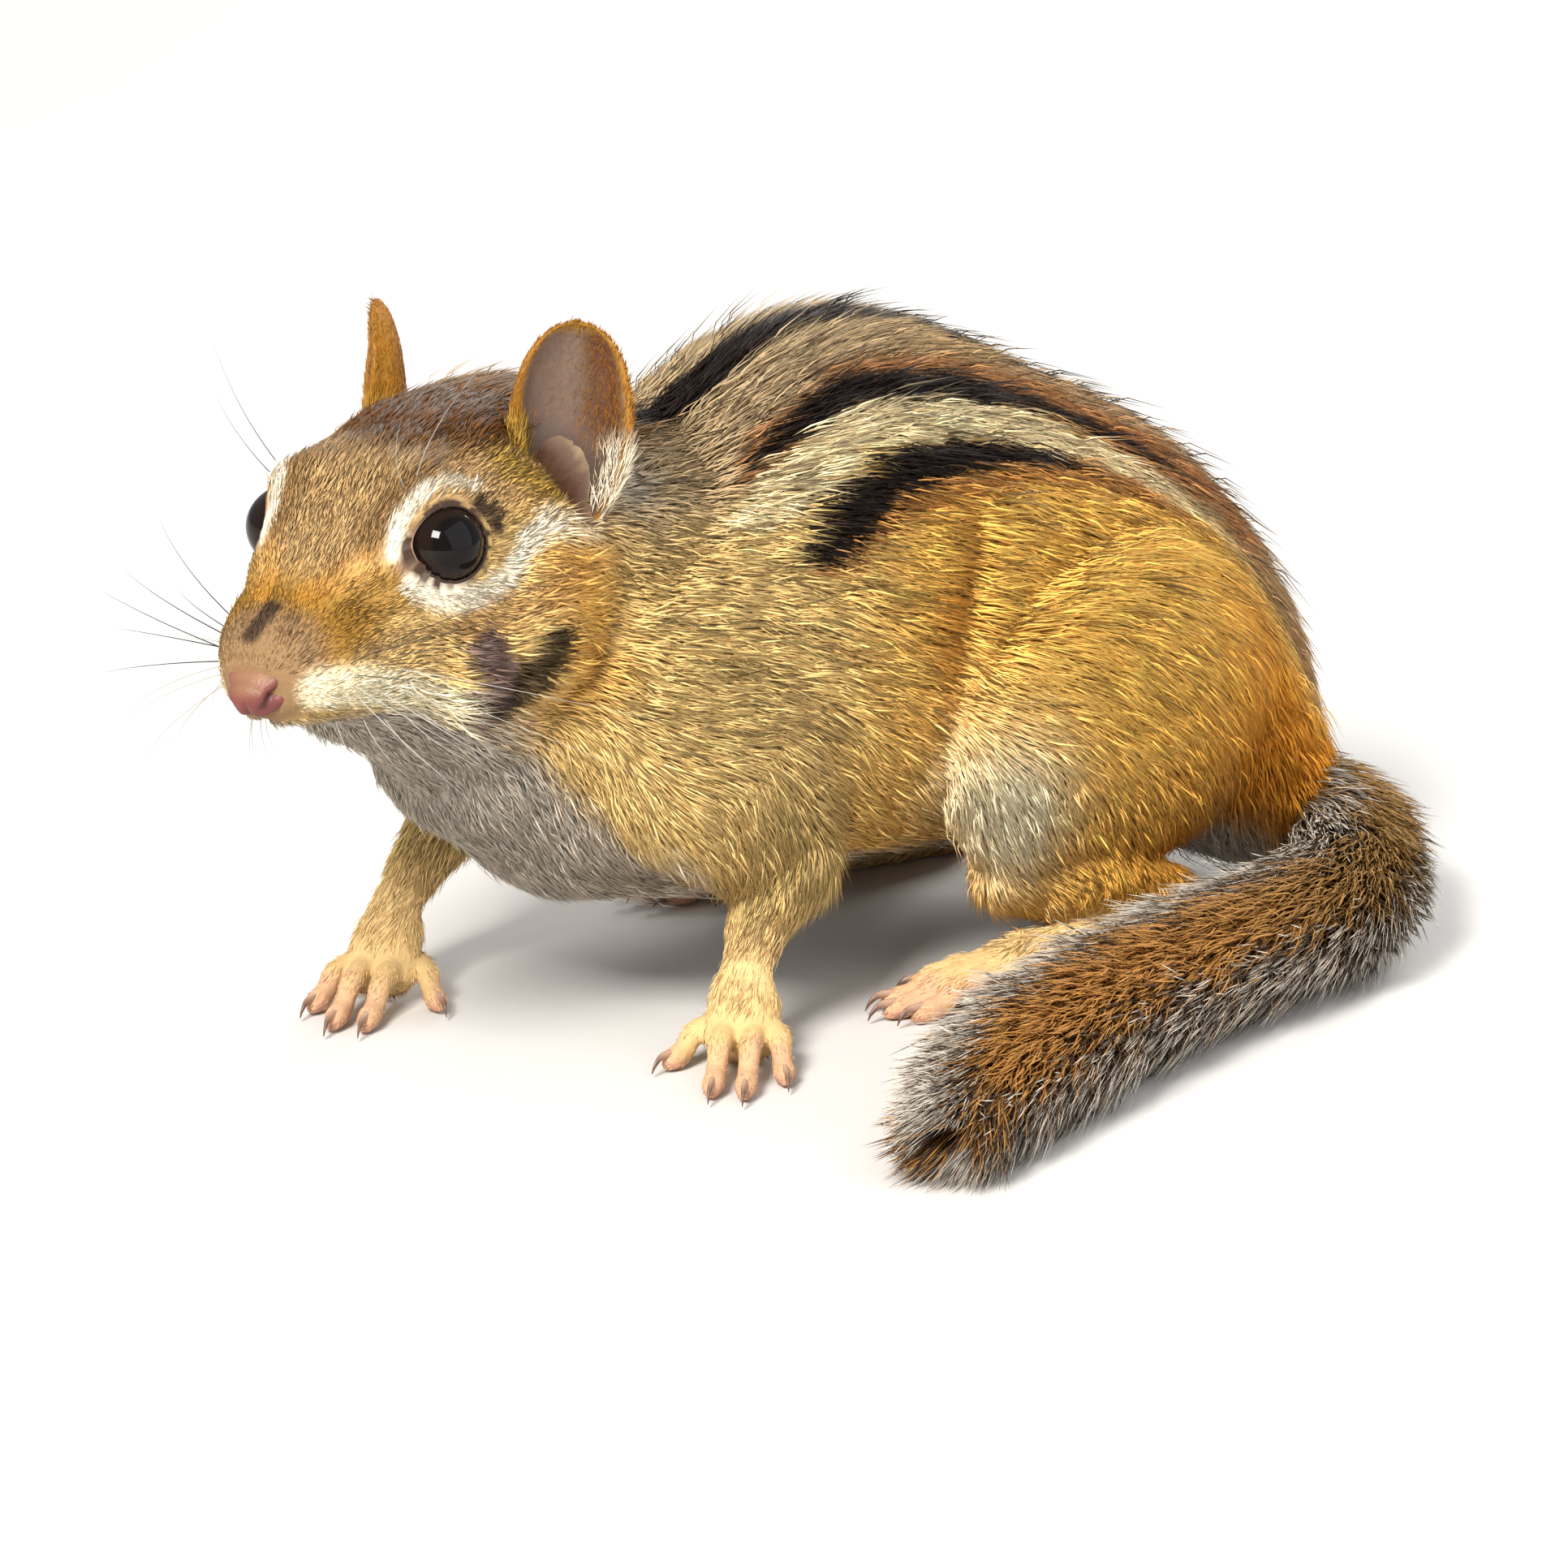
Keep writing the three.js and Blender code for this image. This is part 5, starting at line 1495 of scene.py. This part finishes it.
coat = {
    "rootDepth": 0.15,
    "floorGap": 0.05,
    "tailClear": 5.2,  # mm round the tail's middle line within which no body hair grows
    "floorClear": 0.35,
    "guardShare": 0.035,  # of the back's hairs, which stand out dark
    "strayShare": 0.04,
    # silvery tips are partly the hair's own pale ends, partly painted highlight
    "silverAbove": 0.93,  # of the chance from 0 to 1 that a hair's tip is silvery
    "toneCap": 0.95,
    "longGain": 0.34,  # long hair shades itself, so its tones are lifted by up to this share
    "patch": 0.003,  # size of a tuft's patch on the bake map
}
shortHair = {"levels": (0.4,), "profile": (1.0,), "arch": 0.7}


# A tuft is a slim closed spindle: a point in the skin, three-sided rings, then a tip. Its middle line is
# along = length * u, height = rise * sin(90 degrees * u ** arch), sideways = sway * u ** 2.
def tuftMesh(hairs, shape):
    roots, out, lies = (hairs[k] for k in ("roots", "out", "lies"))
    count, rings = len(roots), len(shape["levels"])
    across = unit(np.cross(out, lies))

    def middle(u):
        height = hairs["rises"] * np.sin(np.pi / 2 * u ** shape["arch"]) - coat["rootDepth"]
        along = lies * (hairs["lengths"] * u)[:, None]
        return roots + along + out * height[:, None] + across * (hairs["sways"] * u**2)[:, None]

    rows = [middle(0.0)]
    for u, share in zip(shape["levels"], shape["profile"]):
        half = (hairs["widths"] * share / 2)[:, None]
        rows += [middle(u) - across * half, middle(u) + out * half * 0.8, middle(u) + across * half]
    points = np.stack([*rows, middle(1.0)], 1)
    end, size = rings * 3 - 2, rings * 3 + 2
    faces = [(0, 1 + k, 1 + (k + 1) % 3) for k in range(3)]
    for r in range(rings - 1):
        for k in range(3):
            a, b = 1 + r * 3 + k, 1 + r * 3 + (k + 1) % 3
            faces += [(b, a, a + 3), (b, a + 3, b + 3)]
    faces += [(end + (k + 1) % 3, end + k, size - 1) for k in range(3)]
    triangles = np.array(faces)[None] + np.arange(count)[:, None, None] * size
    return points.reshape(-1, 3), triangles.reshape(-1, 3), size


# Patch of the bake map for each tuft: its rings step away from the root's own place on the skin's unwrap.
def tuftPlaces(places, levels, size):
    patch = coat["patch"]
    offsets = np.zeros((size, 2))
    for r, u in enumerate(levels):
        ring = [(-patch / 2, u * patch), (0, (u + 0.1) * patch), (patch / 2, u * patch)]
        offsets[1 + r * 3 : 4 + r * 3] = ring
    offsets[-1] = (0, patch)
    return (patch + places[:, None] * (1 - 2 * patch) + offsets).reshape(-1, 2)


# One piece of coat: hairs holds an array for each property, with a row for each tuft.
def addCoat(name, slot, finish, hairs, shape):
    points, triangles, size = tuftMesh(hairs, shape)
    points[:, 2] = np.maximum(points[:, 2], coat["floorGap"])
    mesh = meshOf(name, intoFrame(points), triangles)
    colourLayer(mesh, hairs["shades"].reshape(-1, 3))
    layer = mesh.uv_layers.new(name="OFBake")
    places = tuftPlaces(hairs["places"], shape["levels"], size)[triangles.ravel()]
    layer.data.foreach_set("uv", places.astype(np.float32).ravel())
    finished(name, mesh, finish, slot)
    return len(triangles)


# Roots spread evenly at random over triangles, each chosen in proportion to its area times its packing.
def scatter(points, triangles, density, seed):
    draw = np.random.default_rng(seed)
    a, b, c = (points[triangles[:, k]] for k in range(3))
    area = np.linalg.norm(np.cross(b - a, c - a), axis=1) / 2
    expected = np.cumsum(area * density)
    count = int(expected[-1])
    chosen = np.searchsorted(expected, (np.arange(count) + draw.uniform(0, 1, count)) * expected[-1] / count)
    chosen = np.minimum(chosen, len(triangles) - 1)
    u, v = draw.uniform(0, 1, (2, count))
    flip = u + v > 1
    u, v = np.where(flip, 1 - u, u), np.where(flip, 1 - v, v)
    return chosen, np.stack([1 - u - v, u, v], 1), draw


# Values inside a triangle: its corners' values by the spot's share of each.
def within(values, corners, shares):
    return np.sum(values[corners] * (shares[..., None] if values.ndim > 1 else shares), 1)


def flattened(lies, out):
    return unit(lies - out * np.sum(lies * out, 1, keepdims=True))


def swept(lies, out, sweep):
    return unit(lies + np.cross(out, lies) * sweep[:, None])


# Shades along each tuft: darker at the root, its own tone in the middle, then a paler, dark or silvery tip.
# The silvery tips are partly the hair's own pale ends and partly painted highlight.
def tuftShades(tone, draw, grizzle=0.12, spread=0.14):
    count = len(tone)
    bright = np.clip(1 + spread * draw.normal(0, 1, (count, 1)), 0.5, 1.6)
    warm = draw.normal(0, 0.03, (count, 1)) * np.array([1, 0, -1])
    body = tone * bright * (1 + warm)
    chance = draw.uniform(0, 1, (count, 1))
    dark = chance < grizzle
    silver = chance > coat["silverAbove"]
    shades = np.empty((count, 5, 3))
    shades[:, 0] = body * 0.75
    shades[:, 1:4] = (body * np.where(dark, 0.75, 1))[:, None]
    # silvery tips: partly painted highlight
    shades[:, 4] = np.where(dark, body * 0.35, np.where(silver, body * 1.25 + 0.02, body * 1.1))
    return shades


def buildBodyCoat():
    normals = normalsOf(skinPoints, skinTriangles)
    centres = skinPoints[skinTriangles].mean(1)
    _, _, owner = combed(centres)
    density = np.array([packing[n] for n in combNames])[owner]
    tailEnd = np.array([s[:3] for s in tail["stations"]], float)[1:]
    toTail, _ = nearestOn(centres, tailEnd)
    density = density * (toTail > coat["tailClear"]) * (centres[:, 2] > coat["floorClear"])
    local = toHead(centres)
    for side in (1, -1):
        away, angle, turn = aroundEye(local, side)
        density = density * ~((away < 6.6) & (angle < lidAngle(turn) + 0.05))
    ahead, aside, height = local[:, 0], np.abs(local[:, 1]), local[:, 2]
    onNose = (ahead > nose["bareAhead"]) & (aside < nose["bareAside"])
    lowest, highest = nose["bareHeights"]
    density = density * ~(onNose & (height < highest) & (height > lowest))
    bare = nearLine(local, faceBands["barePatch"], 1.3, 0.5)
    density = density * (1 - 0.97 * bare)
    density = density * (1 - ramp(skinHollow[skinTriangles].mean(1), 0.12, 0.3))
    density = density * (1 - nearLine(mirrored(local), ears["cup"], ears["cupReach"], 0.8))
    noseward = ramp(local[:, 0], 6, 14) * (np.linalg.norm(local, axis=1) < 26)
    density = density * (1 + 0.7 * noseward)

    chosen, shares, draw = scatter(skinPoints, skinTriangles, density, 7)
    corners = skinTriangles[chosen]
    roots = within(skinPoints, corners, shares)
    out = unit(within(normals, corners, shares))
    places = np.sum(skinPlaces[chosen] * shares[..., None], 1)
    lies, values, owner = combed(roots)
    count = len(roots)
    sweep = 0.16 * ripple(roots, 5, 31) + draw.normal(0, 0.13, count)
    fringe = nearLine(mirrored(toHead(roots)), faceBands["lowerCheek"][2:], 1.2, 2.2)
    sweep = sweep + 0.42 * fringe * ripple(roots, 2.4, 35)
    lies = swept(flattened(lies, out), out, sweep)
    lengths = values[:, 0] * draw.uniform(0.7, 1.2, count) * (1 + 0.12 * ripple(roots, 4, 32) + 0.3 * fringe)
    lengths = lengths * (1 - 0.6 * ramp(within(skinHollow, corners, shares), 0.003, 0.12))
    guard = (draw.uniform(0, 1, count) < coat["guardShare"]) & (roots[:, 2] > 30) & (roots[:, 0] > -30)
    stray = 1 + 0.8 * (draw.uniform(0, 1, count) < coat["strayShare"]) + 0.9 * guard
    rises = values[:, 1] * draw.uniform(0.55, 1.15, count) * stray
    rises = rises * (1 + 0.25 * ripple(roots, 2.5, 33) + 0.5 * fringe)
    lengths = lengths * (1 + 0.3 * guard)
    widths = values[:, 2] * draw.uniform(0.75, 1.2, count)
    sways = lengths * draw.normal(0, 0.07, count)
    seen = roots + lies * (lengths * 0.6)[:, None] + out * rises[:, None] * 0.7
    ragged = seen + draw.normal(0, 0.22, seen.shape)
    gain = 1 + coat["longGain"] * ramp(lengths, 2.2, 4.8)
    tone = markings(ragged) * gain[:, None]
    tone = tone / np.maximum(1, tone.max(1, keepdims=True) / coat["toneCap"])
    tone = tone * ((1 + 0.08 * ripple(roots, 3.2, 34)) * (1 - 0.75 * guard))[:, None]
    grey = ramp(0.34 - tone[:, :1], 0, 0.15)
    faceHair = 1 - ramp(values[:, :1], 2.4, 4.2)
    grizzle = 0.10 + 0.22 * grey + 0.08 * faceHair
    shades = tuftShades(tone, draw, grizzle=grizzle, spread=0.13 + 0.09 * faceHair)

    # no hair lies over an open eye
    tips = toHead(roots + lies * lengths[:, None] + out * rises[:, None])
    keep = np.ones(count, bool)
    for side in (1, -1):
        for reach in (toHead(seen), tips):
            away, angle, turn = aroundEye(reach, side)
            keep &= ~((away < head["eyeClear"]) & (angle < lidAngle(turn) + 0.02))
    hairs = dict(
        roots=roots, out=out, lies=lies, lengths=lengths, rises=rises, widths=widths, sways=sways,
        shades=shades, places=places,
    )
    total = 0
    for k, name in enumerate(combNames):
        onLeft = toHead(roots)[:, 1] > 0 if name == "head" else roots[:, 1] < 0
        for label, wanted in (("left", onLeft), ("right", ~onLeft)):
            use = keep & (owner == k) & wanted
            if not use.any():
                continue
            chosenHairs = {key: value[use] for key, value in hairs.items()}
            slot = oddSlots.get(name, f"{name}_fur")
            total += addCoat(f"{name}_coat_{label}", slot, finishes["fur"], chosenHairs, shortHair)
            print("  coat", name, label, int(use.sum()), "tufts")
    return total


coatTriangles = buildBodyCoat()
print("body coat", coatTriangles, "triangles")

# Ear fur
earFur = {"packingOutside": 17.0, "packingInside": 4.0, "length": 1.5, "rise": 0.22, "width": 0.11}


# How much fur climbs the ear from the head, in front and behind.
def earBase(around, height):
    front = ramp(-around, 0.35, 0.8) * (1 - ramp(height, 0.38, 0.62))
    rear = ramp(around, 0.4, 0.85) * (1 - ramp(height, 0.3, 0.5))
    return front, rear


def buildEarCoat():
    total = 0
    for name, (points, triangles, inside, height, around, colours) in earMeshes.items():
        normals = normalsOf(points, triangles)
        side = leftAndRight[name]
        mid = lambda values: values[triangles].mean(1)
        frontLow, rearLow = earBase(mid(around), mid(height))
        rim = ramp(np.abs(mid(around)), 0.82, 0.95) + ramp(mid(height), 0.9, 0.97)
        rearInside = ramp(mid(around), 0.0, 0.5) * ramp(mid(height), 0.25, 0.45)
        covered = np.clip(rim + rearInside + frontLow + 0.6 * rearLow, 0, 1)
        inner = earFur["packingInside"] * (0.02 + 2.6 * covered)
        isInner = mid(inside.astype(float)) > 0.5
        density = np.where(isInner, inner, earFur["packingOutside"]) * (mid(height) > 0.06)
        chosen, shares, draw = scatter(points, triangles, density, 41)
        corners = triangles[chosen]
        roots = within(points, corners, shares)
        out = unit(within(normals, corners, shares))
        lie = (unit(np.array(ears["axis"]) * (1, side, 1)) @ headAxes) + np.array([0.15, 0, 0])
        lies = unit(lie - out * (out @ lie)[:, None])
        count = len(roots)
        lies = swept(lies, out, draw.normal(0, 0.25, count))
        tall, turned = within(height, corners, shares), within(around, corners, shares)
        frontLow, rearLow = earBase(turned, tall)
        atBase = frontLow + rearLow
        hairs = dict(roots=roots, out=out, lies=lies)
        spread = draw.uniform(0.6, 1.2, count)
        hairs["lengths"] = earFur["length"] * spread * (1.3 - 0.75 * tall + 0.9 * atBase)
        hairs["rises"] = earFur["rise"] * draw.uniform(0.5, 1.3, count) * (1 + 1.4 * atBase)
        hairs["widths"] = earFur["width"] * draw.uniform(0.8, 1.2, count)
        hairs["sways"] = hairs["lengths"] * draw.normal(0, 0.08, count)
        tone = within(colours, corners, shares)
        tone = tone + (tones["earOrange"] * 1.05 - tone) * 0.6
        tone = mixed(mixed(tone, "olive", 0.9 * frontLow), "lidCream", 0.85 * rearLow)
        hairs["shades"] = tuftShades(tone, draw)
        hairs["places"] = np.stack([0.02 + 0.4 * tall, 0.5 + 0.45 * turned], 1)
        total += addCoat(f"ear_coat_{name}", "ear_fur", finishes["fur"], hairs, shortHair)
    return total


coatTriangles += buildEarCoat()

# Tail coat
tailHair = {
    "count": (5600, 9200, 11600),
    "width": 0.22,
    "levels": (0.3, 0.66),
    "profile": (1.0, 0.85),
    "arch": 1.1,
    "roll": 0.6,  # radians that the orange line leans to the tail's outer side
    "endShare": 0.14,  # of the last part's hairs, which leave the very tip
}
tailTones = {
    "base": (0.30, 0.17, 0.055),
    "orange": (0.42, 0.20, 0.05),
    "band": (0.060, 0.034, 0.020),
    "frost": (0.80, 0.74, 0.64),
}
tailTones = {name: np.array(value) for name, value in tailTones.items()}


# Hairs leave the tail's skin all round and lean out to the coat's own radius, flatter above and below. Each
# is orange, then dark, then frosted at its tip, and the frost grows towards the sides.
def buildTailCoat():
    stations = np.array(tail["stations"], float)
    total = 0
    for part, ((start, end), count) in enumerate(zip(tail["parts"], tailHair["count"])):
        draw = np.random.default_rng(51 + part)
        t = start + (end - start) * (np.arange(count) + draw.uniform(0, 1, count)) / count
        if part == 2:
            atTip = draw.uniform(0, 1, count) < tailHair["endShare"]
            t = np.where(atTip, 0.965 + 0.035 * draw.uniform(0, 1, count), t)
        angle = draw.uniform(0, 2 * np.pi, count)
        values = curve(stations, t)
        ahead = curve(stations, np.minimum(t + 0.004, 1)) - curve(stations, np.maximum(t - 0.004, 0))
        along = unit(ahead[:, :3])
        side = unit(np.cross(along, (0, 0, 1)))
        up = unit(np.cross(side, along))
        out = unit(side * np.cos(angle)[:, None] + up * np.sin(angle)[:, None])
        tipward = ramp(t, 0.88, 1.0)
        roots = values[:, :3] + out * (values[:, 3] * 0.9 * (1 - 0.4 * tipward))[:, None]
        sideways = np.abs(np.cos(angle))
        flat = tail["flatness"] + (1 - tail["flatness"]) * sideways
        near = ramp(t, 0.0, 0.12)
        reach = values[:, 4] * flat * draw.uniform(0.4, 1.12, count) * (1 + 0.12 * ripple(roots, 6, 61))
        reach = reach * (1 - 0.5 * tipward * draw.uniform(0, 1, count))
        lengths = (6.0 + 3.5 * near + 3.0 * t) * draw.uniform(0.7, 1.15, count)
        lies = unit(along + out * (0.05 * draw.normal(0, 1, count))[:, None])
        lies = flattened(lies, out)
        lies = swept(lies, out, 0.12 * draw.normal(0, 1, count) + 0.16 * ripple(roots, 6, 62))
        widths = tailHair["width"] * draw.uniform(0.7, 1.2, count)
        sways = lengths * draw.normal(0, 0.07, count)
        tone = tailTones["base"] + (tailTones["orange"] - tailTones["base"]) * ramp(t, 0.25, 0.6)[:, None]
        tone = tone * np.clip(draw.normal(1, 0.14, (count, 1)), 0.6, 1.4)
        across = np.abs(np.cos(angle - tailHair["roll"]))
        banded = (0.2 + 0.8 * ramp(across, 0.35, 0.8) + 0.25 * (1 - near) + 0.5 * tipward)[:, None]
        banded = banded * draw.uniform(0.4, 1.4, (count, 1)) > 0.55
        band = np.where(banded, tailTones["band"], tone * 0.9)
        frosted = (ramp(across, 0.5, 0.92) * 0.95 + 0.06)[:, None]
        frosted = frosted * draw.uniform(0.4, 1.4, (count, 1)) > 0.45
        frost = tailTones["frost"] * draw.uniform(0.6, 1.2, (count, 1))
        shades = np.empty((count, 8, 3))
        shades[:, 0] = tone * 0.6
        shades[:, 1:4] = tone[:, None]
        shades[:, 4:7] = np.where(frosted, band + (frost - band) * 0.28, band)[:, None]
        shades[:, 7] = np.where(frosted, frost, band * 1.1)
        places = np.stack([0.5 + 0.48 * t, angle / (2 * np.pi)], 1)
        name = ("base", "middle", "tip")[part]
        hairs = dict(
            roots=roots, out=out, lies=lies, lengths=lengths, rises=reach, widths=widths, sways=sways,
            shades=shades, places=places,
        )
        total += addCoat(f"tail_coat_{name}", "tail_fur", finishes["tailFur"], hairs, tailHair)
    return total


coatTriangles += buildTailCoat()
print("whole coat", coatTriangles, "triangles")
